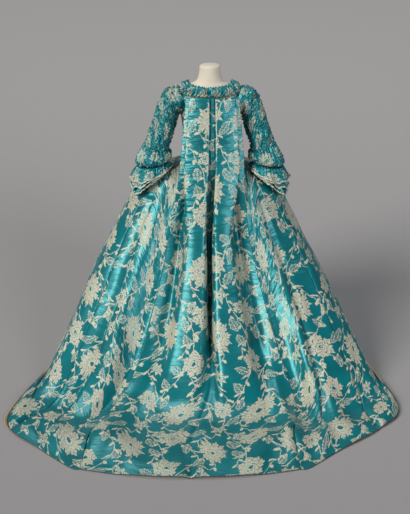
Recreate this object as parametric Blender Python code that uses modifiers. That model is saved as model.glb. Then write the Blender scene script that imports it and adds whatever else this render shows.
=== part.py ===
"""Robe a la francaise on a limbless dress form, standing with its train spread over the floor.

Metres, +Z up. The wearer faces -Y, so the train runs out along +Y, and the wearer's left is +X.
The origin is on the floor, under the middle of the stand's foot.
Every panel is an open lofted surface, its outer face, that Solidify thickens inwards.
"""

import math

import bmesh
import bpy
from mathutils import Vector

# ---------------------------------------------------------------- driving sizes
CLOTH = 0.0015           # lined silk, outer face to lining
TRIM_CLOTH = 0.0012      # ruching and flounces
SEAM_GAP = 0.0008        # each panel stops this far short of its seam line
HIP_SWAY = 0.015         # the hips hang a little to the wearer's left
TRAIN_SWAY = 0.085       # and the train is swept further that way
SACK_TOP_SWAY = -0.0115  # the sack's middle starts a little to the right
BODICE_EASE = 0.008      # the bodice's outer face stands this far off the form
SKIRT_EASE = 0.0175      # the skirt is pleated on outside the bodice's lower edge
TRIM_EASE = 0.0125       # the neck trimming's edges lie on the bodice
WAIST_SECTION = 1.75     # where on the form the bodice ends
WAIST_RISE = 0.006       # the skirt's pleats start this much above that
ARMHOLE = dict(x=0.18, y=0.004, z=1.236, radius=0.0563, depth=0.16)
SLEEVE_SET_IN = 0.002    # the sleeve starts this far inside the bodice's outer face

FORM_COLOUR = (0.72, 0.67, 0.58, 1.0)
WOOD_COLOUR = (0.20, 0.12, 0.07, 1.0)
SILK_COLOUR = (0.03, 0.42, 0.43, 1.0)
TRIM_COLOUR = (0.10, 0.48, 0.47, 1.0)

# ---------------------------------------------------------------- tables
# The sack and train, level by level down the centre back: y and z of the middle,
# half the width to the side seam, and how far forward of the middle the seam lies.
BACK_LEVELS = {
    "neck":  dict(y=0.103, z=1.283, half=0.128, forward=0.022),
    "blade": dict(y=0.172, z=1.060, half=0.148, forward=0.020),
    "hip":   dict(y=0.244, z=0.830, half=0.168, forward=0.030),
    "thigh": dict(y=0.345, z=0.570, half=0.208, forward=0.050),
    "knee":  dict(y=0.550, z=0.275, half=0.290, forward=0.075),
    "shin":  dict(y=0.750, z=0.066, half=0.370, forward=0.090),
    "floor": dict(y=0.925, z=0.0015, half=0.425, forward=0.085),
    "train": dict(y=1.150, z=0.0015, half=0.450, forward=0.075),
    "hem":   dict(y=1.362, z=0.0015, half=0.463, forward=0.068),
}
# Half of the sack's section, from the centre-back seam outwards, at each corner of its pleats:
# x is a share of the half width and h a height in mm, first as stitched, then where the pleats
# have opened at the knee, then on the floor.
PLEAT_CORNERS = {
    "centre_seam": dict(x_top=0.00, h_top=2, x_knee=0.00, h_knee=-74, x_hem=0.00),
    "inner_floor": dict(x_top=0.40, h_top=2, x_knee=0.030, h_knee=-68, x_hem=0.08),
    "inner_riser": dict(x_top=0.41, h_top=7, x_knee=0.050, h_knee=-44, x_hem=0.13),
    "inner_under": dict(x_top=0.145, h_top=10, x_knee=0.072, h_knee=-8, x_hem=0.17),
    "inner_edge":  dict(x_top=0.13, h_top=16, x_knee=0.125, h_knee=16, x_hem=0.22),
    "crown_in":    dict(x_top=0.34, h_top=18, x_knee=0.26, h_knee=22, x_hem=0.31),
    "crown_out":   dict(x_top=0.62, h_top=17, x_knee=0.42, h_knee=22, x_hem=0.42),
    "outer_edge":  dict(x_top=0.84, h_top=15, x_knee=0.55, h_knee=14, x_hem=0.52),
    "outer_under": dict(x_top=0.825, h_top=9, x_knee=0.605, h_knee=-8, x_hem=0.60),
    "outer_riser": dict(x_top=0.56, h_top=7, x_knee=0.665, h_knee=-44, x_hem=0.68),
    "wing_floor":  dict(x_top=0.57, h_top=2, x_knee=0.76, h_knee=-58, x_hem=0.76),
    "wing_middle": dict(x_top=0.80, h_top=4, x_knee=0.88, h_knee=-26, x_hem=0.88),
    "side_seam":   dict(x_top=1.00, h_top=2, x_knee=1.00, h_knee=0, x_hem=1.00),
}
# The skirt starts just inside the sack's edge, and its first fold dips under that edge.
SKIRT_SEAM = dict(x_top=0.985, h_top=-3, x_knee=1.002, h_knee=-3, x_hem=1.00)
TUCK = dict(x_top=0.93, h_top=-13, x_knee=1.09, h_knee=4, x_hem=1.09)
# The skirt's ribs from there round to the front edge: the turn at which each leaves the waist,
# where it goes over the hip, where it ends at the hem, and how much of it lies on the floor.
RIBS = {
    "back_hip":   dict(turn=50, hip=(0.238, 0.190, 0.800), hem=(0.640, 1.155), lies=0.27),
    "back_side":  dict(turn=70, hip=(0.332, 0.138, 0.770), hem=(0.822, 0.985), lies=0.20),
    "side":       dict(turn=88, hip=(0.388, 0.045, 0.752), hem=(0.886, 0.790), lies=0.11),
    "side_front": dict(turn=104, hip=(0.385, -0.055, 0.752), hem=(0.765, 0.340), lies=0.03),
    "pocket":     dict(turn=124, hip=(0.328, -0.145, 0.765), hem=(0.650, -0.070), lies=0.02),
    "front_hip":  dict(turn=149, hip=(0.205, -0.190, 0.790), hem=(0.425, -0.290), lies=0.01),
    "front_edge": dict(turn=173, hip=(0.028, -0.206, 0.800), hem=(0.075, -0.375), lies=0.01),
}
QUARTER_SEAM = "back_side"   # the quarter panel, behind the hip, ends and the side panel starts here
POCKET_SEAM = "pocket"   # the side panel ends and the front panel starts here
HIP_DROP = 0.19          # the share of a rib above its turn over the hip
SIDE_SWEEP = (0.40, 0.10)   # a rib's start below the hip and end at the floor, sideways
BACK_SWEEP = (0.12, 0.34)   # and the same along the train
# Folds of the skirt. Their place counts ribs from the back seam, at the hip and at the hem.
SKIRT_FOLDS = {
    "left_crease":  dict(side=1, at_hip=2.35, at_hem=2.75, wide=0.16, deep=-0.024),
    "left_swell":   dict(side=1, at_hip=1.85, at_hem=1.95, wide=0.42, deep=0.012),
    "left_roll":    dict(side=1, at_hip=3.45, at_hem=3.60, wide=0.38, deep=0.010),
    "left_fall":    dict(side=1, at_hip=6.10, at_hem=6.20, wide=0.40, deep=0.014),
    "right_crease": dict(side=-1, at_hip=2.15, at_hem=2.25, wide=0.16, deep=-0.024),
    "right_swell":  dict(side=-1, at_hip=1.72, at_hem=1.70, wide=0.34, deep=0.014),
    "right_roll":   dict(side=-1, at_hip=3.10, at_hem=3.30, wide=0.40, deep=0.010),
    "right_fall":   dict(side=-1, at_hip=6.25, at_hem=6.05, wide=0.40, deep=0.014),
}
# Sections of the dress form, from its cut at the hip to the top of its neck.
FORM_SECTIONS = {
    "cut":       dict(z=0.870, half=0.146, back=0.094, front=0.094, y=0.000),
    "hip":       dict(z=0.900, half=0.136, back=0.088, front=0.090, y=0.000),
    "waist":     dict(z=0.960, half=0.112, back=0.078, front=0.082, y=0.000),
    "ribs":      dict(z=1.050, half=0.118, back=0.082, front=0.094, y=0.000),
    "bust":      dict(z=1.140, half=0.129, back=0.084, front=0.112, y=0.000),
    "armpit":    dict(z=1.200, half=0.138, back=0.084, front=0.098, y=0.000),
    "shoulder":  dict(z=1.262, half=0.148, back=0.080, front=0.078, y=0.002),
    "slope":     dict(z=1.300, half=0.140, back=0.072, front=0.064, y=0.002),
    "nape":      dict(z=1.326, half=0.108, back=0.060, front=0.054, y=0.000),
    "throat":    dict(z=1.346, half=0.066, back=0.053, front=0.052, y=-0.003),
    "neck":      dict(z=1.385, half=0.052, back=0.050, front=0.052, y=-0.006),
    "neck_top":  dict(z=1.414, half=0.050, back=0.049, front=0.050, y=-0.008),
    "crown":     dict(z=1.422, half=0.040, back=0.040, front=0.040, y=-0.008),
}
# Sections of a sleeve down the arm. tilt is how far the section's axis points below +X.
SLEEVE_SECTIONS = {
    "armhole": dict(x=0.150, y=0.004, z=1.236, tilt=0, tall=0.0545, deep=0.0545),
    "head":    dict(x=0.179, y=0.008, z=1.250, tilt=22, tall=0.068, deep=0.062),
    "cap":     dict(x=0.206, y=0.014, z=1.202, tilt=50, tall=0.061, deep=0.060),
    "upper":   dict(x=0.224, y=0.028, z=1.142, tilt=68, tall=0.057, deep=0.058),
    "lower":   dict(x=0.246, y=0.050, z=1.082, tilt=70, tall=0.057, deep=0.058),
    "elbow":   dict(x=0.262, y=0.068, z=1.036, tilt=72, tall=0.060, deep=0.060),
}
# Each cuff piece is a ring round the forearm, from its seam to its free edge, in radii at its seam,
# belly and edge. rise lifts the edge on the side next to the body; wave is the ruffle's depth.
CUFF_PIECES = {
    "cuff_puff":      dict(seam_z=1.018, edge_z=0.958, seam_r=0.072, belly_r=0.092, edge_r=0.078,
                           rise=0.022, wave=0.004, waves=9, scallop=0.000),
    "flounce_upper":  dict(seam_z=0.950, edge_z=0.884, seam_r=0.074, belly_r=0.090, edge_r=0.094,
                           rise=0.062, wave=0.006, waves=8, scallop=0.006),
    "flounce_middle": dict(seam_z=0.945, edge_z=0.852, seam_r=0.058, belly_r=0.072, edge_r=0.085,
                           rise=0.100, wave=0.005, waves=8, scallop=0.006),
    "flounce_lower":  dict(seam_z=0.940, edge_z=0.820, seam_r=0.042, belly_r=0.056, edge_r=0.070,
                           rise=0.132, wave=0.005, waves=8, scallop=0.006),
}
CUFF_MIDDLE = dict(x=0.270, y=0.083, z=1.000, lean=0.22)   # the forearm's axis, leaning out and back
FORWARD_RISE = math.radians(20)   # the flounces are shortest opposite this, on the arm's inner side
# The two edges of the gathered neck trimming, as turns round the form and places on its sections,
# from the centre back over the shoulder and down the bodice's front edge.
RUCHE_PATH = {
    "centre_back":  dict(turn_out=0, out=6.55, turn_in=0, inn=8.10),
    "back":         dict(turn_out=36, out=6.60, turn_in=32, inn=8.10),
    "shoulder_in":  dict(turn_out=66, out=6.90, turn_in=60, inn=8.15),
    "shoulder_top": dict(turn_out=90, out=7.25, turn_in=90, inn=8.20),
    "shoulder_out": dict(turn_out=114, out=6.90, turn_in=122, inn=8.05),
    "collar":       dict(turn_out=130, out=6.00, turn_in=142, inn=6.80),
    "bust":         dict(turn_out=144, out=4.50, turn_in=161, inn=4.75),
    "ribs":         dict(turn_out=155, out=3.10, turn_in=173, inn=3.10),
    "waist":        dict(turn_out=158, out=1.90, turn_in=178, inn=1.90),
}
RUCHE_CROWN = 0.008      # the trimming's middle stands this much further out
RUCHE_GATHER = 0.004     # and its gathers this much more
RUCHE_STATIONS = 32

# ---------------------------------------------------------------- how finely each piece is divided
BACK_ROWS = 20
WAIST_ROW = 4            # the skirt's side panel joins the back from this row down
SKIRT_ROWS = BACK_ROWS - WAIST_ROW
WAIST_LEVEL = (len(BACK_LEVELS) - 1.0) * WAIST_ROW / BACK_ROWS
RIB_COLUMNS = 2          # columns from one rib to the next
FORM_SIDES = 20
BODICE_ROWS = 9
SLEEVE_SIDES = 12
SLEEVE_ROWS = 8
CUFF_SIDES = 24

# ---------------------------------------------------------------- curves


def smooth(t):
    """0 to 1 with level ends."""
    t = max(0.0, min(1.0, t))
    return t * t * (3.0 - 2.0 * t)


def mix(a, b, t):
    return a + (b - a) * t


def along(rows, t, *keys):
    """The named columns of a table, read as a smooth curve at row position t."""
    rows = list(rows.values())
    t = max(0.0, min(len(rows) - 1.0, t))
    i = min(int(t), len(rows) - 2)
    f = t - i
    picked = [rows[max(0, min(len(rows) - 1, k))] for k in (i - 1, i, i + 1, i + 2)]
    found = []
    for key in keys:
        a, b, c, d = (row[key] for row in picked)
        found.append(b + 0.5 * f * (c - a + f * (2 * a - 5 * b + 4 * c - d + f * (3 * (b - c) + d - a))))
    return found[0] if len(found) == 1 else found


def bezier(a, b, c, d, t):
    s = 1.0 - t
    return a * s**3 + b * 3 * s * s * t + c * 3 * s * t * t + d * t**3


def swayed(point):
    """The point moved sideways with the hips and the train, and kept on top of the floor."""
    hips = smooth((1.0 - point.z) / 0.35) * (1.0 - smooth((point.y - 0.05) / 0.35))
    x = point.x + HIP_SWAY * hips + TRAIN_SWAY * smooth((point.y - 0.66) / 0.44)
    return Vector((x, point.y, max(point.z, CLOTH)))


# ---------------------------------------------------------------- the back


def back_base(share, level):
    """A point of the sack with its pleats pressed out. share is 0 at the centre, 1 at the side seam."""
    y, z, half, forward = along(BACK_LEVELS, level, "y", "z", "half", "forward")
    drift = SACK_TOP_SWAY * (1.0 - smooth((level - 1.0) / 2.0))
    return Vector((share * half + drift, y - forward * share * share, z))


def back_out(level):
    """The way out of the back's surface: at right angles to its fall."""
    last = len(BACK_LEVELS) - 1.0
    fall = back_base(0.0, min(last, level + 0.05)) - back_base(0.0, max(0.0, level - 0.05))
    return Vector((0.0, -fall.z, fall.y)).normalized()


def pleat_corner(corner, side, level):
    """Where one corner of the pleats lies: stitched above, opening below the hip, spread on the floor."""
    opening = smooth((level - 1.3) / 1.6)
    spread = smooth((level - 3.8) / 1.9)
    share = mix(mix(corner["x_top"], corner["x_knee"], opening), corner["x_hem"], spread)
    loose = 1.0 + 0.5 * smooth((level - 0.3) / 1.5)
    height = mix(mix(corner["h_top"] * loose, corner["h_knee"], opening), 0.0, spread) / 1000.0
    return swayed(back_base(side * share, level) + back_out(level) * height)


def shortened(row):
    """The row with both ends drawn in by the seam gap."""
    first = row[0] + (row[1] - row[0]).normalized() * SEAM_GAP
    last = row[-1] + (row[-2] - row[-1]).normalized() * SEAM_GAP
    return [first] + row[1:-1] + [last]


def back_panel(side):
    """Rows from neck to hem, each across the pleats from the centre seam to the side seam."""
    last = len(BACK_LEVELS) - 1.0
    rows = []
    for j in range(BACK_ROWS + 1):
        level = last * j / BACK_ROWS
        rows.append(shortened([pleat_corner(corner, side, level) for corner in PLEAT_CORNERS.values()]))
    return rows


# ---------------------------------------------------------------- the skirt


def floor_drop(lies):
    """The share of a rib above the floor."""
    return 0.97 - 0.90 * lies


def seam_rib(corner, side):
    """A rib that follows the back panel's rows from the waist down."""
    def point(drop):
        return pleat_corner(corner, side, mix(WAIST_LEVEL, len(BACK_LEVELS) - 1.0, drop))
    return point


def skirt_rib(row, side):
    """A rib from the waist out over the hip, down in one long sweep, and over the floor to the hem."""
    waist = form_point(math.radians(row["turn"]), WAIST_SECTION, SKIRT_EASE)
    waist.z += WAIST_RISE
    hip = Vector(row["hip"])
    hem = Vector((row["hem"][0], row["hem"][1], CLOTH))
    outward = Vector((hem.x - hip.x, hem.y - hip.y, 0.0))
    contact = hem - outward.normalized() * row["lies"]
    reach = contact - hip
    lands = floor_drop(row["lies"])

    def point(drop):
        if drop < HIP_DROP:
            over = Vector((hip.x - waist.x, hip.y - waist.y, 0.0)) * 0.52
            found = bezier(waist, waist + over, hip + Vector((0, 0, 0.075)), hip, drop / HIP_DROP)
        elif drop < lands:
            falling = hip + Vector((reach.x * SIDE_SWEEP[0], reach.y * BACK_SWEEP[0], -hip.z * 0.40))
            landing = contact - Vector((reach.x * SIDE_SWEEP[1], reach.y * BACK_SWEEP[1], 0.0))
            found = bezier(hip, falling, landing, contact, (drop - HIP_DROP) / (lands - HIP_DROP))
        else:
            found = mix(contact, hem, (drop - lands) / (1.0 - lands))
        return swayed(Vector((side * found.x, found.y, found.z)))
    return point


def fold_height(side, place, drop):
    """How far the skirt's folds push a point out."""
    total = 0.0
    for fold in SKIRT_FOLDS.values():
        if fold["side"] == side:
            off = (place - mix(fold["at_hip"], fold["at_hem"], drop)) / fold["wide"]
            total += fold["deep"] * math.exp(-off * off)
    return total * smooth((drop - 0.12) / 0.3) * (1.0 - smooth((drop - 0.72) / 0.2))


def skirt_ribs(side):
    seams = [seam_rib(SKIRT_SEAM, side), seam_rib(TUCK, side)]
    return seams + [skirt_rib(row, side) for row in RIBS.values()]


def skirt_point(side, ribs, place, drop):
    """place counts ribs from 0, the back seam; drop runs from 0 at the waist to 1 at the hem."""
    here = {i: dict(zip("xyz", rib(drop))) for i, rib in enumerate(ribs)}
    found = Vector(along(here, place, "x", "y", "z"))
    middle = Vector((0.0, 0.1 + 0.35 * drop, found.z - 0.25))
    found += (found - middle).normalized() * fold_height(side, place, drop)
    found.z = max(found.z, CLOTH)
    return found


def skirt_panel(side, first, last):
    """Rows from waist to hem of the skirt between two rib places."""
    columns = round((last - first) * RIB_COLUMNS)
    ribs = skirt_ribs(side)
    rows = []
    for j in range(SKIRT_ROWS + 1):
        drop = j / SKIRT_ROWS
        row = [skirt_point(side, ribs, mix(first, last, i / columns), drop) for i in range(columns + 1)]
        rows.append(shortened(row))
    return rows


# ---------------------------------------------------------------- form and bodice


def form_point(turn, section, ease):
    """A point round the form. turn is 0 at the centre back and a quarter circle at the wearer's left."""
    z, half, back, front, y = along(FORM_SECTIONS, section, "z", "half", "back", "front", "y")
    deep = back if math.cos(turn) > 0 else front
    lift = ease * smooth((section - 6.5) / 2.0)
    return Vector(((half + ease) * math.sin(turn), y + (deep + ease) * math.cos(turn), z + lift))


def form_rows():
    steps = 2 * (len(FORM_SECTIONS) - 1)
    rows = []
    for j in range(steps + 1):
        rows.append([form_point(2 * math.pi * i / FORM_SIDES, j / 2, 0.0) for i in range(FORM_SIDES)])
    return rows


def neckline(turn):
    """The form section that the bodice reaches up to: high behind, scooped in front."""
    return mix(7.55, 4.50, smooth((abs(turn) - 112.0) / 46.0))


def bodice_panel(first, last, columns):
    """Rows from the neckline down to the waist, between two turns in degrees."""
    rows = []
    for j in range(BODICE_ROWS + 1):
        row = []
        for i in range(columns + 1):
            turn = mix(first, last, i / columns)
            section = mix(neckline(turn), WAIST_SECTION, j / BODICE_ROWS)
            row.append(form_point(math.radians(turn), section, BODICE_EASE))
        rows.append(row)
    return rows


# ---------------------------------------------------------------- sleeves and trimmings


def bodice_side(y, z):
    """How far out the bodice's outer face is at the side, at this y and z."""
    low, high = 0.0, len(FORM_SECTIONS) - 1.0
    while high - low > 0.001:
        middle = (low + high) / 2.0
        if form_point(0.0, middle, BODICE_EASE).z < z:
            low = middle
        else:
            high = middle
    half, back, front, y_middle = along(FORM_SECTIONS, low, "half", "back", "front", "y")
    deep = (back if y > y_middle else front) + BODICE_EASE
    return (half + BODICE_EASE) * math.sqrt(max(0.0, 1.0 - ((y - y_middle) / deep) ** 2))


def sleeve_ring(side, place):
    """One ring of the sleeve. The first is set into the armhole and follows the bodice's curve."""
    x, y, z, tilt, tall, deep = along(SLEEVE_SECTIONS, place, "x", "y", "z", "tilt", "tall", "deep")
    tilt = math.radians(tilt)
    across = Vector((math.sin(tilt), 0.0, math.cos(tilt)))
    ring = []
    for i in range(SLEEVE_SIDES):
        turn = 2 * math.pi * i / SLEEVE_SIDES
        point = Vector((x, y, z)) + across * tall * math.cos(turn)
        point.y += deep * math.sin(turn)
        if place == 0:
            point.x = bodice_side(point.y, point.z) - SLEEVE_SET_IN
        ring.append(Vector((side * point.x, point.y, point.z)))
    return ring


def sleeve_rows(side):
    last = len(SLEEVE_SECTIONS) - 1
    return [sleeve_ring(side, last * j / SLEEVE_ROWS) for j in range(SLEEVE_ROWS + 1)]


def cuff_point(side, piece, turn, fall):
    """turn is 0 on the outer side of the arm; fall is 0 at the seam and 1 at the free edge."""
    s = 1.0 - fall
    radius = piece["seam_r"] * s * s + 2.0 * s * fall * piece["belly_r"] + piece["edge_r"] * fall * fall
    radius += piece["wave"] * fall * math.cos(piece["waves"] * turn)
    lifted = 0.5 - 0.5 * math.cos(turn - FORWARD_RISE)
    edge = piece["edge_z"] + piece["rise"] * lifted + piece["scallop"] * math.cos(piece["waves"] * turn)
    z = mix(piece["seam_z"] + 0.25 * piece["rise"] * lifted, edge, fall)
    lean = CUFF_MIDDLE["lean"] * (CUFF_MIDDLE["z"] - z)
    x = CUFF_MIDDLE["x"] + lean + radius * math.cos(turn)
    return Vector((side * x, CUFF_MIDDLE["y"] + lean + radius * math.sin(turn), z))


def cuff_rows(side, piece, steps):
    turns = [2 * math.pi * i / CUFF_SIDES for i in range(CUFF_SIDES)]
    return [[cuff_point(side, piece, turn, j / steps) for turn in turns] for j in range(steps + 1)]


def ruche_point(place, across):
    """place runs along RUCHE_PATH, mirrored below 0; across is 0 at the inner edge and 1 at the outer one."""
    turn_out, out, turn_in, inn = along(RUCHE_PATH, abs(place), "turn_out", "out", "turn_in", "inn")
    turn = math.radians(mix(turn_in, turn_out, across))
    proud = TRIM_EASE + RUCHE_CROWN * 4.0 * across * (1.0 - across)
    point = form_point(turn, mix(inn, out, across), proud)
    return Vector((math.copysign(1.0, place) * point.x, point.y, point.z))


def ruche_rows():
    last = len(RUCHE_PATH) - 1.0
    rows = []
    for across in (0.0, 0.5, 1.0):
        row = []
        for i in range(-RUCHE_STATIONS, RUCHE_STATIONS + 1):
            point = ruche_point(last * i / RUCHE_STATIONS, across)
            if i % 2 == 0 and 0.0 < across < 1.0:
                point += (point - Vector((0.0, 0.0, 1.15))).normalized() * RUCHE_GATHER
            row.append(point)
        rows.append(row)
    return rows


# ---------------------------------------------------------------- building


def material(name, colour, roughness):
    made = bpy.data.materials.new(name)
    made.use_nodes = True
    surface = made.node_tree.nodes["Principled BSDF"]
    surface.inputs["Base Color"].default_value = colour
    surface.inputs["Roughness"].default_value = roughness
    surface.inputs["Metallic"].default_value = 0.0
    return made


def add_object(name, mesh, look):
    data = bpy.data.meshes.new(name)
    mesh.to_mesh(data)
    mesh.free()
    data.materials.append(look)
    data.shade_smooth()
    made = bpy.data.objects.new(name, data)
    GOWN.objects.link(made)
    return made


def loft(name, rows, look, facing, closed=False):
    """A surface through rows of points, joined round if closed, turned to face away from facing(point)."""
    mesh = bmesh.new()
    grid = [[mesh.verts.new(point) for point in row] for row in rows]
    count = len(grid[0])
    for above, below in zip(grid, grid[1:]):
        for i in range(count if closed else count - 1):
            k = (i + 1) % count
            mesh.faces.new((above[i], below[i], below[k], above[k]))
    mesh.normal_update()
    away = 0.0
    for face in mesh.faces:
        centre = face.calc_center_median()
        away += face.calc_area() * face.normal.dot(centre - facing(centre))
    if away < 0.0:
        bmesh.ops.reverse_faces(mesh, faces=mesh.faces[:])
    return add_object(name, mesh, look)


def thicken(obj, thickness):
    """Adds the cloth's thickness behind its outer face."""
    shell = obj.modifiers.new("cloth", "SOLIDIFY")
    shell.thickness = thickness
    shell.offset = -1.0
    shell.use_rim = True
    return obj


def figure_middle(point):
    """A point inside the figure that the cloth at this point faces away from."""
    return Vector((0.0, 0.1 + max(0.0, 0.9 - point.z) * 0.45, point.z - 0.1 - 0.1 * point.y))


def sleeve_middle(side):
    def middle(point):
        drop = max(0.0, ARMHOLE["z"] - point.z)
        return Vector((side * (0.190 + drop * 0.36), 0.004 + drop * 0.35, min(point.z, 1.226)))
    return middle


def cuff_middle(side):
    def middle(point):
        return Vector((side * (CUFF_MIDDLE["x"] + 0.01), CUFF_MIDDLE["y"] + 0.01, point.z))
    return middle


def armhole_cutter(side):
    mesh = bmesh.new()
    radius = ARMHOLE["radius"]
    bmesh.ops.create_cone(mesh, cap_ends=True, segments=SLEEVE_SIDES, radius1=radius, radius2=radius,
                          depth=ARMHOLE["depth"])
    data = bpy.data.meshes.new("armhole")
    mesh.to_mesh(data)
    mesh.free()
    cutter = bpy.data.objects.new("armhole_cutter_" + SIDE_NAMES[side], data)
    cutter.location = (side * ARMHOLE["x"], ARMHOLE["y"], ARMHOLE["z"])
    cutter.rotation_euler = (0.0, math.radians(90.0), 0.0)
    cutter.hide_render = True
    cutter.display_type = "WIRE"
    CUTTERS.objects.link(cutter)
    return cutter


def cut(obj, cutter):
    hole = obj.modifiers.new("armhole", "BOOLEAN")
    hole.operation = "DIFFERENCE"
    hole.object = cutter


def turned(name, profile, look, steps):
    """A turned piece: its profile, down its outer side, spun round the Z axis."""
    mesh = bmesh.new()
    verts = [mesh.verts.new((radius, 0.0, z)) for radius, z in profile]
    for a, b in zip(verts, verts[1:]):
        mesh.edges.new((a, b))
    made = add_object(name, mesh, look)
    screw = made.modifiers.new("turned", "SCREW")
    screw.steps = screw.render_steps = steps
    screw.use_merge_vertices = True
    screw.merge_threshold = 0.0001
    return made


def build_form(linen):
    """One solid from the cut at the hip to the top of the neck."""
    mesh = bmesh.new()
    grid = [[mesh.verts.new(point) for point in row] for row in form_rows()]
    for below, above in zip(grid, grid[1:]):
        for i in range(FORM_SIDES):
            k = (i + 1) % FORM_SIDES
            mesh.faces.new((below[i], below[k], above[k], above[i]))
    mesh.faces.new(grid[0])
    mesh.faces.new(grid[-1])
    bmesh.ops.recalc_face_normals(mesh, faces=mesh.faces[:])
    add_object("form_torso", mesh, linen)


def build_stand(wood):
    top = FORM_SECTIONS["cut"]["z"] - 0.0004
    turned("stand_pole", [(0.0, top), (0.045, top), (0.045, top - 0.012), (0.016, top - 0.022),
                          (0.016, 0.0254), (0.0, 0.0254)], wood, 16)
    turned("stand_foot", [(0.0, 0.025), (0.030, 0.025), (0.150, 0.018), (0.190, 0.012),
                          (0.190, 0.0), (0.0, 0.0)], wood, 32)


def build_bodice(silk, cutters):
    panels = {
        "bodice_back": dict(first=-86.0, last=86.0, columns=14),
        "bodice_front_left": dict(first=86.4, last=179.6, columns=8),
        "bodice_front_right": dict(first=-179.6, last=-86.4, columns=8),
    }
    for name, span in panels.items():
        rows = bodice_panel(span["first"], span["last"], span["columns"])
        made = thicken(loft(name, rows, silk, figure_middle), CLOTH)
        for cutter in cutters:
            cut(made, cutter)


def build_skirt(silk, side):
    name = SIDE_NAMES[side]
    thicken(loft("back_" + name, back_panel(side), silk, figure_middle), CLOTH)
    quarter = list(RIBS).index(QUARTER_SEAM) + 2
    pocket = list(RIBS).index(POCKET_SEAM) + 2
    front = len(RIBS) + 1
    thicken(loft("skirt_quarter_" + name, skirt_panel(side, 0, quarter), silk, figure_middle), CLOTH)
    thicken(loft("skirt_side_" + name, skirt_panel(side, quarter, pocket), silk, figure_middle), CLOTH)
    thicken(loft("skirt_front_" + name, skirt_panel(side, pocket, front), silk, figure_middle), CLOTH)


def build_arm(silk, trim, side):
    name = SIDE_NAMES[side]
    thicken(loft("sleeve_" + name, sleeve_rows(side), silk, sleeve_middle(side), closed=True), CLOTH)
    for piece_name, piece in CUFF_PIECES.items():
        steps = 3 if piece_name == "cuff_puff" else 2
        rows = cuff_rows(side, piece, steps)
        made = loft(piece_name + "_" + name, rows, trim, cuff_middle(side), closed=True)
        thicken(made, TRIM_CLOTH)


for old in list(bpy.data.objects):
    bpy.data.objects.remove(old)
GOWN = bpy.data.collections.new("robe_a_la_francaise")
CUTTERS = bpy.data.collections.new("cutters")
bpy.context.scene.collection.children.link(GOWN)
bpy.context.scene.collection.children.link(CUTTERS)
SIDE_NAMES = {1: "left", -1: "right"}

LINEN = material("linen", FORM_COLOUR, 0.85)
WOOD = material("wood", WOOD_COLOUR, 0.45)
SILK = material("silk", SILK_COLOUR, 0.35)
TRIM = material("trim_silk", TRIM_COLOUR, 0.40)

build_form(LINEN)
build_stand(WOOD)
build_bodice(SILK, [armhole_cutter(side) for side in SIDE_NAMES])
for each_side in SIDE_NAMES:
    build_skirt(SILK, each_side)
    build_arm(SILK, TRIM, each_side)
thicken(loft("neck_ruche", ruche_rows(), TRIM, figure_middle), TRIM_CLOTH)
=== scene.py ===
"""Robe a la francaise on its dress form: the finished look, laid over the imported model.

The cloth is lofted from the solids' tables, far more finely, and then folded, gathered and ruched.
The skirt's folds, the neck trimming and the armholes have values of their own here.
Metres, +Z up. The wearer faces -Y, and the wearer's left is +X.
"""

import math

import bmesh
import bpy
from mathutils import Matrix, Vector, noise


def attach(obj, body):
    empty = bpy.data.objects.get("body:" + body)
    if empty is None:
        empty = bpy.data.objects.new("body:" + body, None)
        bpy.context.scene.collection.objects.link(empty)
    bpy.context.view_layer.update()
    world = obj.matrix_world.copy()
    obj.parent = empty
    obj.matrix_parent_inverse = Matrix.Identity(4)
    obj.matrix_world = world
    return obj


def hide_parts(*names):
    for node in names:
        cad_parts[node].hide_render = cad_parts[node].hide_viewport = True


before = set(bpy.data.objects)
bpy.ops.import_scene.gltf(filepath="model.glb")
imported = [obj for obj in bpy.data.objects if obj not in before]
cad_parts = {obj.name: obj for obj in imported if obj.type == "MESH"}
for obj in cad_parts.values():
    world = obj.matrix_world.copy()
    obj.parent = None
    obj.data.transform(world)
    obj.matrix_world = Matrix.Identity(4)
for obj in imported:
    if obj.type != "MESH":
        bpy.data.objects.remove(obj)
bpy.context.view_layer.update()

# ---------------------------------------------------------------- camera, light and floor
CAMERA_AT = (0.024, 5.0, 2.52)
CAMERA_DOWN = math.radians(22.76)
CAMERA_LENS = 73.54
# Wide, even studio lights a long way off: where each comes from, its spread in degrees and its strength.
LIGHTS = {
    "key":   dict(at=(3.9, 3.4, 3.5), spread=34, strength=3.0, colour="#FFFAF2"),
    "fill":  dict(at=(-3.0, 4.2, 2.1), spread=32, strength=1.3, colour="#F8FCFF"),
    "top":   dict(at=(0.9, -1.4, 4.8), spread=22, strength=0.7, colour="#FFFFFF"),
}
STUDIO_GREY = "#B9BBBE"
STUDIO_STRENGTH = 0.22
FLOOR_REACH = 160.0
FAR_GREY = "#6C6B6D"       # painted shade: the paper's colour darkens to this far from the lights, as it falls away into the dark of the studio

# ---------------------------------------------------------------- the gown's sizes
CLOTH = 0.0015           # lined silk
TRIM_CLOTH = 0.0012      # ruching and flounces
SEAM_GAP = 0.0001
HIP_SWAY = 0.015
TRAIN_SWAY = 0.085
SACK_TOP_SWAY = -0.0115
BODICE_EASE = 0.008
SKIRT_EASE = 0.0175
TRIM_EASE = 0.0125
WAIST_SECTION = 1.75
ARMHOLE = dict(y=0.004, z=1.236, radius=0.050)
SLEEVE_SET_IN = 0.002

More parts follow.
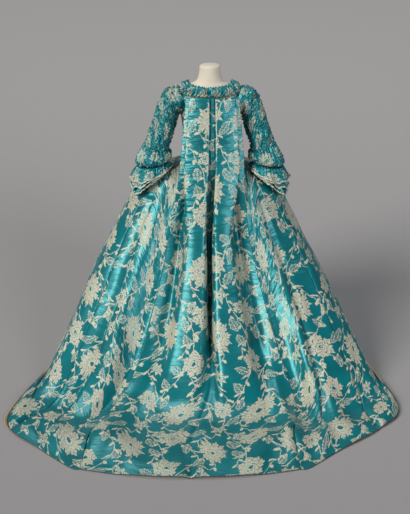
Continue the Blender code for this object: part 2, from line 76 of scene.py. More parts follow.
BACK_LEVELS = {
    "neck":  dict(y=0.103, z=1.283, half=0.128, forward=0.022),
    "blade": dict(y=0.172, z=1.060, half=0.148, forward=0.020),
    "hip":   dict(y=0.244, z=0.830, half=0.168, forward=0.030),
    "thigh": dict(y=0.345, z=0.570, half=0.208, forward=0.050),
    "knee":  dict(y=0.550, z=0.275, half=0.290, forward=0.075),
    "shin":  dict(y=0.750, z=0.066, half=0.370, forward=0.090),
    "floor": dict(y=0.925, z=0.0015, half=0.425, forward=0.085),
    "train": dict(y=1.150, z=0.0015, half=0.450, forward=0.075),
    "hem":   dict(y=1.362, z=0.0015, half=0.463, forward=0.068),
}
PLEAT_CORNERS = {
    "centre_seam": dict(x_top=0.00, h_top=2, x_knee=0.00, h_knee=-74, x_hem=0.00),
    "inner_floor": dict(x_top=0.40, h_top=2, x_knee=0.030, h_knee=-68, x_hem=0.08),
    "inner_riser": dict(x_top=0.41, h_top=7, x_knee=0.050, h_knee=-44, x_hem=0.13),
    "inner_under": dict(x_top=0.145, h_top=10, x_knee=0.072, h_knee=-8, x_hem=0.17),
    "inner_edge":  dict(x_top=0.13, h_top=16, x_knee=0.125, h_knee=16, x_hem=0.22),
    "crown_in":    dict(x_top=0.34, h_top=18, x_knee=0.26, h_knee=22, x_hem=0.31),
    "crown_out":   dict(x_top=0.62, h_top=17, x_knee=0.42, h_knee=22, x_hem=0.42),
    "outer_edge":  dict(x_top=0.84, h_top=15, x_knee=0.55, h_knee=14, x_hem=0.52),
    "outer_under": dict(x_top=0.825, h_top=9, x_knee=0.605, h_knee=-8, x_hem=0.60),
    "outer_riser": dict(x_top=0.56, h_top=7, x_knee=0.665, h_knee=-44, x_hem=0.68),
    "wing_floor":  dict(x_top=0.57, h_top=2, x_knee=0.76, h_knee=-58, x_hem=0.76),
    "wing_middle": dict(x_top=0.80, h_top=4, x_knee=0.88, h_knee=-26, x_hem=0.88),
    "side_seam":   dict(x_top=1.00, h_top=2, x_knee=1.00, h_knee=0, x_hem=1.00),
}
SKIRT_SEAM = dict(x_top=0.985, h_top=-3, x_knee=1.002, h_knee=-3, x_hem=1.00)
TUCK = dict(x_top=0.93, h_top=-13, x_knee=1.09, h_knee=4, x_hem=1.09)
RIBS = {
    "back_hip":   dict(turn=50, hip=(0.238, 0.190, 0.800), hem=(0.640, 1.155), lies=0.27),
    "back_side":  dict(turn=70, hip=(0.332, 0.138, 0.770), hem=(0.822, 0.985), lies=0.20),
    "side":       dict(turn=88, hip=(0.388, 0.045, 0.752), hem=(0.886, 0.790), lies=0.11),
    "side_front": dict(turn=104, hip=(0.385, -0.055, 0.752), hem=(0.765, 0.340), lies=0.03),
    "pocket":     dict(turn=124, hip=(0.328, -0.145, 0.765), hem=(0.650, -0.070), lies=0.02),
    "front_hip":  dict(turn=149, hip=(0.205, -0.190, 0.790), hem=(0.425, -0.290), lies=0.01),
    "front_edge": dict(turn=173, hip=(0.028, -0.206, 0.800), hem=(0.075, -0.375), lies=0.01),
}
# Each skirt panel's first and last rib, counted from the back seam.
SKIRT_PANELS = {"skirt_quarter": (0, 3), "skirt_side": (3, 6), "skirt_front": (6, 8)}
HIP_DROP = 0.19
SIDE_SWEEP = (0.40, 0.10)
BACK_SWEEP = (0.12, 0.34)
SKIRT_FOLDS = {
    "left_crease":  dict(side=1, at_hip=2.35, at_hem=2.75, wide=0.10, deep=-0.026),
    "left_swell":   dict(side=1, at_hip=1.85, at_hem=1.95, wide=0.36, deep=0.013),
    "left_roll":    dict(side=1, at_hip=3.45, at_hem=3.60, wide=0.38, deep=0.010),
    "left_fall":    dict(side=1, at_hip=6.10, at_hem=6.20, wide=0.40, deep=0.014),
    "right_crease": dict(side=-1, at_hip=2.15, at_hem=2.25, wide=0.10, deep=-0.026),
    "right_swell":  dict(side=-1, at_hip=1.72, at_hem=1.70, wide=0.30, deep=0.015),
    "right_roll":   dict(side=-1, at_hip=3.10, at_hem=3.30, wide=0.40, deep=0.010),
    "right_fall":   dict(side=-1, at_hip=6.25, at_hem=6.05, wide=0.40, deep=0.014),
}
FORM_SECTIONS = {
    "cut":       dict(z=0.870, half=0.146, back=0.094, front=0.094, y=0.000),
    "hip":       dict(z=0.900, half=0.136, back=0.088, front=0.090, y=0.000),
    "waist":     dict(z=0.960, half=0.112, back=0.078, front=0.082, y=0.000),
    "ribs":      dict(z=1.050, half=0.118, back=0.082, front=0.094, y=0.000),
    "bust":      dict(z=1.140, half=0.129, back=0.084, front=0.112, y=0.000),
    "armpit":    dict(z=1.200, half=0.138, back=0.084, front=0.098, y=0.000),
    "shoulder":  dict(z=1.262, half=0.148, back=0.080, front=0.078, y=0.002),
    "slope":     dict(z=1.300, half=0.140, back=0.072, front=0.064, y=0.002),
    "nape":      dict(z=1.326, half=0.108, back=0.060, front=0.054, y=0.000),
    "throat":    dict(z=1.346, half=0.066, back=0.053, front=0.052, y=-0.003),
    "neck":      dict(z=1.385, half=0.052, back=0.050, front=0.052, y=-0.006),
    "neck_top":  dict(z=1.414, half=0.050, back=0.049, front=0.050, y=-0.008),
    "crown":     dict(z=1.422, half=0.040, back=0.040, front=0.040, y=-0.008),
}
SLEEVE_SECTIONS = {
    "armhole": dict(x=0.150, y=0.004, z=1.236, tilt=0, tall=0.0545, deep=0.0545),
    "head":    dict(x=0.179, y=0.008, z=1.250, tilt=22, tall=0.068, deep=0.062),
    "cap":     dict(x=0.206, y=0.014, z=1.202, tilt=50, tall=0.061, deep=0.060),
    "upper":   dict(x=0.224, y=0.028, z=1.142, tilt=68, tall=0.057, deep=0.058),
    "lower":   dict(x=0.246, y=0.050, z=1.082, tilt=70, tall=0.057, deep=0.058),
    "elbow":   dict(x=0.262, y=0.068, z=1.036, tilt=72, tall=0.060, deep=0.060),
}
CUFF_PIECES = {
    "cuff_puff":      dict(seam_z=1.018, edge_z=0.958, seam_r=0.072, belly_r=0.092, edge_r=0.078,
                           rise=0.022, wave=0.004, waves=9, scallop=0.000),
    "flounce_upper":  dict(seam_z=0.950, edge_z=0.884, seam_r=0.074, belly_r=0.090, edge_r=0.094,
                           rise=0.062, wave=0.006, waves=8, scallop=0.006),
    "flounce_middle": dict(seam_z=0.945, edge_z=0.852, seam_r=0.058, belly_r=0.072, edge_r=0.085,
                           rise=0.100, wave=0.005, waves=8, scallop=0.006),
    "flounce_lower":  dict(seam_z=0.940, edge_z=0.820, seam_r=0.042, belly_r=0.056, edge_r=0.070,
                           rise=0.132, wave=0.005, waves=8, scallop=0.006),
}
PINKING = 26             # scallops round a flounce's edge
CUFF_MIDDLE = dict(x=0.270, y=0.083, z=1.000, lean=0.22)
FORWARD_RISE = math.radians(20)
RUCHE_PATH = {
    "centre_back":  dict(turn_out=0, out=6.55, turn_in=0, inn=7.72),
    "back":         dict(turn_out=36, out=6.60, turn_in=32, inn=7.92),
    "shoulder_in":  dict(turn_out=66, out=6.90, turn_in=60, inn=8.15),
    "shoulder_top": dict(turn_out=90, out=7.25, turn_in=90, inn=8.20),
    "shoulder_out": dict(turn_out=114, out=6.90, turn_in=122, inn=8.05),
    "collar":       dict(turn_out=130, out=6.00, turn_in=142, inn=6.80),
    "bust":         dict(turn_out=144, out=4.50, turn_in=161, inn=4.75),
    "ribs":         dict(turn_out=155, out=3.10, turn_in=173, inn=3.10),
    "waist":        dict(turn_out=158, out=1.90, turn_in=178, inn=1.90),
}
RUCHE_CROWN = 0.006
SLEEVE_FULLNESS = 1.9    # how much longer and wider the cut is than its gathered length
CUFF_FULLNESS = 1.8
RUCHE_FULLNESS = 1.6
SHOULDER_FILL = 0.030    # the sleeve head is eased up to the neck trimming

# Where the lining slips out from under the hem, and how far.
LINING_SHOWS = 0.018
LINING_SHOWS_ON = "skirt_side_left"
LINING_STEPS = (-0.004, 0.3, 0.65, 1.0)     # shares of that width, from the hem outwards
HEM_CORD = 0.0016        # radii of the dark cord along the hem's edge and of the gimp, and the gimp's plait
HEM_CORD_LIFT = 0.0004
GIMP_THICK = 0.0019
GIMP_PLAIT = 0.008
GIMP_STEPS = 420
RUCHE_GATHER = 0.0165    # one gather of the neck trimming
SLEEVE_THREADS = 5
SLEEVE_FOLD = 0.024      # one fold of the ruched sleeve, down the arm
# Ridges of cloth that run on over the floor, in plan: from, to, half width and height.
TRAIN_RIDGES = [
    dict(start=(-0.30, 0.62), end=(-0.40, 1.27), wide=0.040, high=0.030),
    dict(start=(-0.52, 0.70), end=(-0.62, 1.06), wide=0.055, high=0.022),
    dict(start=(0.36, 0.66), end=(0.52, 1.22), wide=0.055, high=0.024),
    dict(start=(0.62, 0.62), end=(0.80, 1.00), wide=0.055, high=0.020),
]

# ---------------------------------------------------------------- how finely each piece is divided
BACK_ROWS = 150
BACK_SPLITS = 7          # columns from one pleat corner to the next
WAIST_ROW = 30           # the side panel joins the back from this row down
SKIRT_ROWS = BACK_ROWS - WAIST_ROW
WAIST_LEVEL = (len(BACK_LEVELS) - 1.0) * WAIST_ROW / BACK_ROWS
RIB_SPLITS = 20          # columns from one rib to the next
BODICE_ROWS = 60
FORM_SIDES = 96
FORM_SPLITS = 5
SLEEVE_SIDES = 144
SLEEVE_ROWS = 130
CUFF_SIDES = 240
CUFF_ROWS = 22
RUCHE_STATIONS = 520
RUCHE_ROWS = 12

SIDE_NAMES = {1: "left", -1: "right"}

# ---------------------------------------------------------------- curves


def smooth(t):
    """0 to 1 with level ends."""
    t = max(0.0, min(1.0, t))
    return t * t * (3.0 - 2.0 * t)


def mix(a, b, t):
    return a + (b - a) * t


def curve(a, b, c, d, f):
    """A smooth curve through b and c, f of the way from one to the other."""
    return b + 0.5 * f * (c - a + f * (2 * a - 5 * b + 4 * c - d + f * (3 * (b - c) + d - a)))


def along(rows, t, *keys):
    """The named columns of a table, read as a smooth curve at row position t."""
    rows = list(rows.values())
    t = max(0.0, min(len(rows) - 1.0, t))
    i = min(int(t), len(rows) - 2)
    near = [rows[max(0, min(len(rows) - 1, k))] for k in (i - 1, i, i + 1, i + 2)]
    found = [curve(*(row[key] for row in near), t - i) for key in keys]
    return found[0] if len(found) == 1 else found


def through(points, place):
    """A smooth curve through a list of points, at a place counted in points."""
    i = max(0, min(int(place), len(points) - 2))
    near = [points[max(0, min(len(points) - 1, k))] for k in (i - 1, i, i + 1, i + 2)]
    return curve(*near, place - i)


def bezier(a, b, c, d, t):
    s = 1.0 - t
    return a * s**3 + b * 3 * s * s * t + c * 3 * s * t * t + d * t**3


def swayed(point):
    """The point moved sideways with the hips and the train, and kept on top of the floor."""
    hips = smooth((1.0 - point.z) / 0.35) * (1.0 - smooth((point.y - 0.05) / 0.35))
    x = point.x + HIP_SWAY * hips + TRAIN_SWAY * smooth((point.y - 0.66) / 0.44)
    return Vector((x, point.y, max(point.z, CLOTH)))


def ridged(point):
    """The point lifted by the ridges that run over the floor."""
    lift = 0.0
    for ridge in TRAIN_RIDGES:
        start, end = Vector(ridge["start"]), Vector(ridge["end"])
        way = end - start
        off = point.xy - start
        down = off.dot(way) / way.length_squared
        beside = (off - way * down).length / ridge["wide"]
        ends = smooth((down + 0.15) / 0.4) * (1.0 - smooth((down - 0.55) / 0.5))
        lift += ridge["high"] * ends * math.exp(-beside * beside)
    return Vector((point.x, point.y, point.z + lift * (1.0 - smooth((point.z - 0.05) / 0.2))))


# ---------------------------------------------------------------- the back


def back_base(share, level):
    y, z, half, forward = along(BACK_LEVELS, level, "y", "z", "half", "forward")
    drift = SACK_TOP_SWAY * (1.0 - smooth((level - 1.0) / 2.0))
    return Vector((share * half + drift, y - forward * share * share, z))


def back_out(level):
    last = len(BACK_LEVELS) - 1.0
    fall = back_base(0.0, min(last, level + 0.05)) - back_base(0.0, max(0.0, level - 0.05))
    return Vector((0.0, -fall.z, fall.y)).normalized()


def pleat_corner(corner, side, level):
    """Where one corner of the pleats lies: stitched above, opening below the hip, spread on the floor."""
    opening = smooth((level - 1.3) / 1.6)
    spread = smooth((level - 3.8) / 1.9)
    share = mix(mix(corner["x_top"], corner["x_knee"], opening), corner["x_hem"], spread)
    loose = 1.0 + 0.5 * smooth((level - 0.3) / 1.5)
    height = mix(mix(corner["h_top"] * loose, corner["h_knee"], opening), 0.0, spread) / 1000.0
    return swayed(back_base(side * share, level) + back_out(level) * height)


def shortened(row):
    """The row with both ends drawn in by the seam gap."""
    first = row[0] + (row[1] - row[0]).normalized() * SEAM_GAP
    last = row[-1] + (row[-2] - row[-1]).normalized() * SEAM_GAP
    return [first] + row[1:-1] + [last]


def back_panel(side):
    """Rows from neck to hem, each across the pleats from the centre seam to the side seam."""
    last = len(BACK_LEVELS) - 1.0
    columns = (len(PLEAT_CORNERS) - 1) * BACK_SPLITS
    rows = []
    for j in range(BACK_ROWS + 1):
        corners = [pleat_corner(corner, side, last * j / BACK_ROWS) for corner in PLEAT_CORNERS.values()]
        row = [ridged(through(corners, i / BACK_SPLITS)) for i in range(columns + 1)]
        rows.append(shortened([Vector((p.x, p.y, max(p.z, CLOTH))) for p in row]))
    return rows


# ---------------------------------------------------------------- the skirt


def skirt_rib(row, side, drop):
    """A rib from the waist out over the hip, down in one long sweep, and over the floor to the hem."""
    waist = form_point(math.radians(row["turn"]), WAIST_SECTION, SKIRT_EASE)
    waist.z += 0.006
    hip = Vector(row["hip"])
    hem = Vector((row["hem"][0], row["hem"][1], CLOTH))
    outward = Vector((hem.x - hip.x, hem.y - hip.y, 0.0))
    contact = hem - outward.normalized() * row["lies"]
    reach = contact - hip
    lands = 0.97 - 0.90 * row["lies"]
    if drop < HIP_DROP:
        over = Vector((hip.x - waist.x, hip.y - waist.y, 0.0)) * 0.52
        found = bezier(waist, waist + over, hip + Vector((0, 0, 0.075)), hip, drop / HIP_DROP)
    elif drop < lands:
        falling = hip + Vector((reach.x * SIDE_SWEEP[0], reach.y * BACK_SWEEP[0], -hip.z * 0.40))
        landing = contact - Vector((reach.x * SIDE_SWEEP[1], reach.y * BACK_SWEEP[1], 0.0))
        found = bezier(hip, falling, landing, contact, (drop - HIP_DROP) / (lands - HIP_DROP))
    else:
        found = mix(contact, hem, (drop - lands) / (1.0 - lands))
    return swayed(Vector((side * found.x, found.y, found.z)))


def fold_height(side, place, drop):
    """How far the skirt's folds push a point out."""
    total = 0.0
    for fold in SKIRT_FOLDS.values():
        if fold["side"] == side:
            off = (place - mix(fold["at_hip"], fold["at_hem"], drop)) / fold["wide"]
            total += fold["deep"] * math.exp(-off * off)
    return total * smooth((drop - 0.10) / 0.3) * (1.0 - smooth((drop - 0.78) / 0.2))


def skirt_panel(side, first, last):
    """Rows from waist to hem of the skirt between two rib places, counted from the back seam."""
    columns = (last - first) * RIB_SPLITS
    rows = []
    for j in range(SKIRT_ROWS + 1):
        drop = j / SKIRT_ROWS
        level = mix(WAIST_LEVEL, len(BACK_LEVELS) - 1.0, drop)
        ribs = [pleat_corner(SKIRT_SEAM, side, level), pleat_corner(TUCK, side, level)]
        ribs += [skirt_rib(rib, side, drop) for rib in RIBS.values()]
        row = []
        for i in range(columns + 1):
            place = mix(first, last, i / columns)
            point = through(ribs, place)
            middle = Vector((0.0, 0.1 + 0.35 * drop, point.z - 0.25))
            point = ridged(point + (point - middle).normalized() * fold_height(side, place, drop))
            row.append(Vector((point.x, point.y, max(point.z, CLOTH))))
        rows.append(shortened(row))
    return rows


# ---------------------------------------------------------------- form and bodice


def form_point(turn, section, ease):
    """A point round the form. turn is 0 at the centre back and a quarter circle at the wearer's left."""
    z, half, back, front, y = along(FORM_SECTIONS, section, "z", "half", "back", "front", "y")
    deep = mix(front, back, smooth(0.5 + 2.0 * math.cos(turn)))
    lift = ease * smooth((section - 6.5) / 2.0)
    return Vector(((half + ease) * math.sin(turn), y + (deep + ease) * math.cos(turn), z + lift))


def form_rows():
    """Rings from the cut at the hip to the top of the neck."""
    steps = FORM_SPLITS * (len(FORM_SECTIONS) - 1)
    rows = []
    for j in range(steps + 1):
        section = j / FORM_SPLITS
        rows.append([form_point(2 * math.pi * i / FORM_SIDES, section, 0.0) for i in range(FORM_SIDES)])
    return rows


def neckline(turn):
    """The form section that the bodice reaches up to: high behind, scooped in front."""
    return mix(7.55, 4.50, smooth((abs(turn) - 112.0) / 46.0))


def bodice_panel(first, last):
    """Rows from the neckline down to the waist, between two turns in degrees."""
    columns = round(abs(last - first) / 1.5)
    rows = []
    for j in range(BODICE_ROWS + 1):
        row = []
        for i in range(columns + 1):
            turn = mix(first, last, i / columns)
            section = mix(neckline(turn), WAIST_SECTION, j / BODICE_ROWS)
            row.append(form_point(math.radians(turn), section, BODICE_EASE))
        rows.append(row)
    return rows


# ---------------------------------------------------------------- sleeves and trimmings


def bodice_side(y, z):
    """How far out the bodice's outer face is at the side, at this y and z."""
    low, high = 0.0, len(FORM_SECTIONS) - 1.0
    while high - low > 0.001:
        middle = (low + high) / 2.0
        if form_point(0.0, middle, BODICE_EASE).z < z:
            low = middle
        else:
            high = middle
    half, back, front, y_middle = along(FORM_SECTIONS, low, "half", "back", "front", "y")
    deep = (back if y > y_middle else front) + BODICE_EASE
    return (half + BODICE_EASE) * math.sqrt(max(0.0, 1.0 - ((y - y_middle) / deep) ** 2))


def sleeve_rows(side):
    """Rings of the sleeve down the arm. The first is set into the armhole and follows the bodice's curve."""
    last = len(SLEEVE_SECTIONS) - 1
    rows = []
    for j in range(SLEEVE_ROWS + 1):
        place = last * j / SLEEVE_ROWS
        x, y, z, tilt, tall, deep = along(SLEEVE_SECTIONS, place, "x", "y", "z", "tilt", "tall", "deep")
        tilt = math.radians(tilt)
        across = Vector((math.sin(tilt), 0.0, math.cos(tilt)))
        inside = 1.0 - smooth(place / 0.5)
        ring = []
        for i in range(SLEEVE_SIDES):
            turn = 2 * math.pi * i / SLEEVE_SIDES
            point = Vector((x, y, z)) + across * tall * math.cos(turn)
            point.y += deep * math.sin(turn)
            point.z += SHOULDER_FILL * math.exp(-((place - 0.1) / 0.5) ** 2) * max(0.0, math.cos(turn))
            set_in = bodice_side(point.y, point.z) - SLEEVE_SET_IN if inside > 0.0 else point.x
            point.x = max(point.x, set_in) if j else set_in
            ring.append(Vector((side * point.x, point.y, point.z)))
        rows.append(ring)
    return rows


def cuff_point(side, piece, turn, fall):
    """turn is 0 on the outer side of the arm; fall is 0 at the seam and 1 at the free edge."""
    s = 1.0 - fall
    radius = piece["seam_r"] * s * s + 2.0 * s * fall * piece["belly_r"] + piece["edge_r"] * fall * fall
    radius += piece["wave"] * fall * math.cos(piece["waves"] * turn)
    lifted = 0.5 - 0.5 * math.cos(turn - FORWARD_RISE)
    edge = piece["edge_z"] + piece["rise"] * lifted + piece["scallop"] * math.cos(piece["waves"] * turn)
    z = mix(piece["seam_z"] + 0.25 * piece["rise"] * lifted, edge, fall)
    lean = CUFF_MIDDLE["lean"] * (CUFF_MIDDLE["z"] - z)
    x = CUFF_MIDDLE["x"] + lean + radius * math.cos(turn)
    return Vector((side * x, CUFF_MIDDLE["y"] + lean + radius * math.sin(turn), z))


def cuff_rows(side, piece, sewn_to=None):
    """Rings of a cuff piece from its seam, which is drawn in to the ring that it is sewn to."""
    turns = [2 * math.pi * i / CUFF_SIDES for i in range(CUFF_SIDES)]
    rows = [[cuff_point(side, piece, turn, j / CUFF_ROWS) for turn in turns] for j in range(CUFF_ROWS + 1)]
    for j, row in enumerate(rows):
        for turn, point in zip(turns, row):
            ragged = noise.noise(Vector((2.4 * math.cos(turn), 2.4 * math.sin(turn), 30.0 * piece["edge_z"])))
            pinked = abs(math.sin(0.5 * PINKING * turn))
            cut = 1.4 * piece["scallop"] * ragged - 0.5 * piece["scallop"] * pinked
            point.z += (j / CUFF_ROWS) ** 3 * cut
    if sewn_to:
        for j, row in enumerate(rows):
            loose = smooth(j / (0.32 * CUFF_ROWS))
            for i, point in enumerate(row):
                seam = through(sewn_to + sewn_to[:1], i * len(sewn_to) / CUFF_SIDES)
                row[i] = mix(seam, point, loose)
    return rows


def ruche_point(place, across, proud=0.0):
    """place runs along RUCHE_PATH, mirrored below 0; across is 0 at the inner edge and 1 at the outer one."""
    turn_out, out, turn_in, inn = along(RUCHE_PATH, abs(place), "turn_out", "out", "turn_in", "inn")
    turn = math.radians(mix(turn_in, turn_out, across))
    crown = RUCHE_CROWN * 4.0 * across * (1.0 - across)
    point = form_point(turn, mix(inn, out, across), TRIM_EASE + crown + proud)
    return Vector((math.copysign(1.0, place) * point.x, point.y, point.z))


def ruche_rows():
    last = len(RUCHE_PATH) - 1.0
    rows = []
    for j in range(RUCHE_ROWS + 1):
        places = [last * i / RUCHE_STATIONS for i in range(-RUCHE_STATIONS, RUCHE_STATIONS + 1)]
        rows.append([ruche_point(place, j / RUCHE_ROWS) for place in places])
    return rows


# ---------------------------------------------------------------- cloth relief


def figure_middle(point):
    """A point inside the figure that the cloth at this point faces away from."""
    return Vector((0.0, 0.1 + max(0.0, 0.9 - point.z) * 0.45, point.z - 0.1 - 0.1 * point.y))


def sleeve_middle(side):
    def middle(point):
        drop = max(0.0, ARMHOLE["z"] - point.z)
        return Vector((side * (0.190 + drop * 0.36), 0.004 + drop * 0.35, min(point.z, 1.226)))
    return middle


def cuff_middle(side):
    def middle(point):
        return Vector((side * (CUFF_MIDDLE["x"] + 0.01), CUFF_MIDDLE["y"] + 0.01, point.z))
    return middle


def measured(rows, closed=False, origin=0, straight=False):
    """How far each point lies across its row, from the column origin, and down its column, in metres.

    A straight strip takes its middle row's measure all the way down."""
    across, down = [], []
    for j, row in enumerate(rows):
        ends = row + row[:1] if closed else row
        run = [0.0]
        for a, b in zip(ends, ends[1:]):
            run.append(run[-1] + (b - a).length)
        across.append([x - run[origin] for x in run])
        above = down[-1] if down else [0.0] * len(ends)
        before = (rows[j - 1] + rows[j - 1][:1] if closed else rows[j - 1]) if j else ends
        down.append([d + (a - b).length for d, a, b in zip(above, before, ends)])
    if straight:
        across = [across[len(rows) // 2]] * len(rows)
    return across, down


def relieved(rows, middle, height, closed=False):
    """The rows with each point moved out of the cloth by height(column share, row share, across, down)."""
    count, last = len(rows[0]), len(rows) - 1
    across, down = measured(rows, closed)
    normals, facing = [], 0.0
    for j, row in enumerate(rows):
        above, below = rows[max(0, j - 1)], rows[min(last, j + 1)]
        found = []
        for i, point in enumerate(row):
            left = row[(i - 1) % count] if closed else row[max(0, i - 1)]
            right = row[(i + 1) % count] if closed else row[min(count - 1, i + 1)]
            normal = (right - left).cross(below[i] - above[i])
            facing += normal.dot(point - middle(point))
            found.append(normal.normalized())
        normals.append(found)
    sign = math.copysign(1.0, facing)
    moved = []
    for j, row in enumerate(rows):
        out = [point + normals[j][i] * sign * height(i / count, j / last, across[j][i], down[j][i])
               for i, point in enumerate(row)]
        moved.append([Vector((point.x, point.y, max(point.z, CLOTH))) for point in out])
    return moved


def silk_fall(side, seed, early, most):
    """Long hollows down hanging silk, with slanting breaks, which run out over the floor in low waves.

    early is where they start, and they die away at the seams."""
    def height(column, row, across, down):
        long = noise.noise(Vector((across * 6.0 * side, down * 1.1, seed)))
        slant = noise.noise(Vector(((across + down * 0.35) * 7.0, down * 2.4, seed + 5.0)))
        fine = noise.noise(Vector((across * 13.0, down * 10.0, seed + 9.0)))
        lying = smooth((row - 0.72) / 0.16)
        broad = noise.noise(Vector((across * 3.6, down * 3.4, seed + 13.0)))
        hanging = most * (long + 1.1 * slant * abs(slant)) + 0.0032 * fine
        waves = 2.8 * most * (broad + 0.5 * slant + 0.40) * (1.0 - 0.6 * smooth((row - 0.93) / 0.07))
        seams = smooth(column / 0.05) * smooth((1.0 - column) / 0.05)
        return mix(hanging, waves, lying) * smooth((row - early) / 0.25) * seams
    return height


def sleeve_ruching(side):
    """Silk drawn up on five threads down the arm, so that it puffs in crooked folds between them."""
    def height(column, row, across, down):
        lane = column * SLEEVE_THREADS
        beside = abs(lane - math.floor(lane) - 0.5) * 2.0
        puff = 1.0 - beside ** 3
        start = math.floor(lane) * 0.37
        crooked = noise.noise(Vector((lane * 2.6, down * 26.0, 3.0 * side)))
        folds = math.sin(2 * math.pi * (down / SLEEVE_FOLD + 1.5 * crooked + start))
        lumps = noise.noise(Vector((across * 42.0, down * 60.0, 7.0 + side)))
        small = noise.noise(Vector((across * 110.0, down * 150.0, 9.0)))
        ends = smooth(row / 0.10) * (1.0 - smooth((row - 0.95) / 0.05))
        raised = 0.0042 * folds * (0.35 + 0.65 * puff) + 0.0065 * lumps + 0.0022 * small
        return (raised + 0.0035 * puff - 0.0035) * ends
    return height


def puff_gathers(side):
    """Gathers at both seams of the puffed band, which open over its belly."""
    def height(column, row, across, down):
        seams = abs(row - 0.5) * 2.0
        wander = noise.noise(Vector((column * 40.0, row * 2.0, 2.0 * side)))
        pleats = math.sin(2 * math.pi * (26 * column + 0.7 * wander))
        belly = noise.noise(Vector((column * 18.0, row * 3.0, 4.0)))
        return 0.0042 * pleats * (0.4 + 0.6 * seams) + 0.008 * belly * (1.0 - seams)
    return height


def flounce_gathers(side, seed):
    """Gathers at the seam of a flounce that run out into its ruffles."""
    def height(column, row, across, down):
        wander = noise.noise(Vector((column * 22.0, row * 1.5, seed * side)))
        pleats = math.sin(2 * math.pi * (30 * column + 0.8 * wander))
        return 0.0026 * pleats * (1.0 - 0.55 * row) + 0.0080 * wander * row
    return height


def ruche_gathers(column, row, across, down):
    """Close gathers across the neck trimming, drawn flat on two threads and frilled at its edges."""
    wander = noise.noise(Vector((across * 34.0, down * 18.0, 1.0)))
    pleats = math.sin(2 * math.pi * across / RUCHE_GATHER + 5.0 * wander)
    lumps = noise.noise(Vector((across * 70.0, down * 50.0, 4.0)))
    off_thread = min(abs(row - 0.2), abs(row - 0.8)) / 0.2
    drawn = 0.35 + 0.65 * smooth(off_thread)
    return (0.0058 * pleats + 0.0034 * lumps) * drawn


# ---------------------------------------------------------------- making pieces


def link(name, mesh, looks):
    """A new object from a bmesh, smoothly shaded, with its looks in order."""
    data = bpy.data.meshes.new(name)
    mesh.to_mesh(data)
    mesh.free()
    data.shade_smooth()
    for look in looks:
        data.materials.append(look)
    made = bpy.data.objects.new(name, data)
    bpy.context.scene.collection.objects.link(made)
    return made


def loft(name, rows, looks, middle, closed=False, origin=0, hem=False, drawn_up=0.0, way=1.0):
    """A cloth surface through rows of points, which faces away from middle(point).

    Its map "cloth" is in metres across and down, and "edge" holds the distance from the last row.
    Cloth that is drawn_up is cut straight, and that many times larger than the finer folds show."""
    mesh = bmesh.new()
    cloth = mesh.loops.layers.uv.new("cloth")
    edge = mesh.loops.layers.uv.new("edge") if hem else None
    grid = [[mesh.verts.new(point) for point in row] for row in rows]
    count = len(rows[0])
    across, down = measured(rows, closed, origin, straight=drawn_up > 0.0)
    fuller = drawn_up or 1.0
    for j in range(len(rows) - 1):
        for i in range(count if closed else count - 1):
            corners = ((j, i), (j + 1, i), (j + 1, i + 1), (j, i + 1))
            face = mesh.faces.new([grid[a][b % count] for a, b in corners])
            for loop, (a, b) in zip(face.loops, corners):
                loop[cloth].uv = (across[a][b] * way * fuller, down[a][b] * fuller)
                if hem:
                    loop[edge].uv = (across[a][b], down[-1][b] - down[a][b])
    mesh.normal_update()
    away = 0.0
    for face in mesh.faces:
        centre = face.calc_center_median()
        away += face.calc_area() * face.normal.dot(centre - middle(centre))
    if away < 0.0:
        bmesh.ops.reverse_faces(mesh, faces=mesh.faces[:])
    return link(name, mesh, looks)


def lined(piece, thickness):
    """Cloth with its lining behind it."""
    shell = piece.modifiers.new("lining", "SOLIDIFY")
    shell.thickness = thickness
    shell.offset = -1.0
    shell.use_rim = True
    shell.material_offset = 1
    shell.material_offset_rim = 0
    return piece


def tube(name, path, radius, looks, sides=8, twist=0.0):
    """A round cord or tape along a path, with capped ends; twist rows of strands give it a plait's swell."""
    mesh = bmesh.new()
    rings = []
    last = len(path) - 1
    run = 0.0
    for i, point in enumerate(path):
        ahead, behind = path[min(last, i + 1)], path[max(0, i - 1)]
        way = (ahead - behind).normalized()
        run += (point - behind).length if i else 0.0
        up = Vector((0, 0, 1)) if abs(way.z) < 0.9 else Vector((1, 0, 0))
        across = way.cross(up).normalized()
        up = across.cross(way)
        ring = []
        for k in range(sides):
            turn = 2 * math.pi * k / sides
            swell = 1.0 + (0.22 * math.cos(2 * turn - 2 * math.pi * run / twist) if twist else 0.0)
            out = across * math.cos(turn) + up * math.sin(turn)
            ring.append(mesh.verts.new(point + out * radius * swell))
        rings.append(ring)
    for a, b in zip(rings, rings[1:]):
        for k in range(sides):
            mesh.faces.new((a[k], a[(k + 1) % sides], b[(k + 1) % sides], b[k]))
    mesh.faces.new(rings[0][::-1])
    mesh.faces.new(rings[-1])
    bmesh.ops.recalc_face_normals(mesh, faces=mesh.faces[:])
    return link(name, mesh, looks)


def declare(piece, rows, node, closed=False):
    """Attaches a cloth piece to the root and hides the solid that it stands for; its rows are measured, and
    the measure is not used. Gathered pieces would be cut larger than their rows measure, by their fullness,
    which only their pattern is scaled by."""
    across, down = measured(rows, closed)
    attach(piece, "root")
    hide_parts(node)


# ---------------------------------------------------------------- looks


def linear(sheet_colour):
    """An sRGB hex colour as the linear colour that a shader takes."""
    parts = [int(sheet_colour[k:k + 2], 16) / 255.0 for k in (1, 3, 5)]
    return tuple(c / 12.92 if c <= 0.04045 else ((c + 0.055) / 1.055) ** 2.4 for c in parts) + (1.0,)


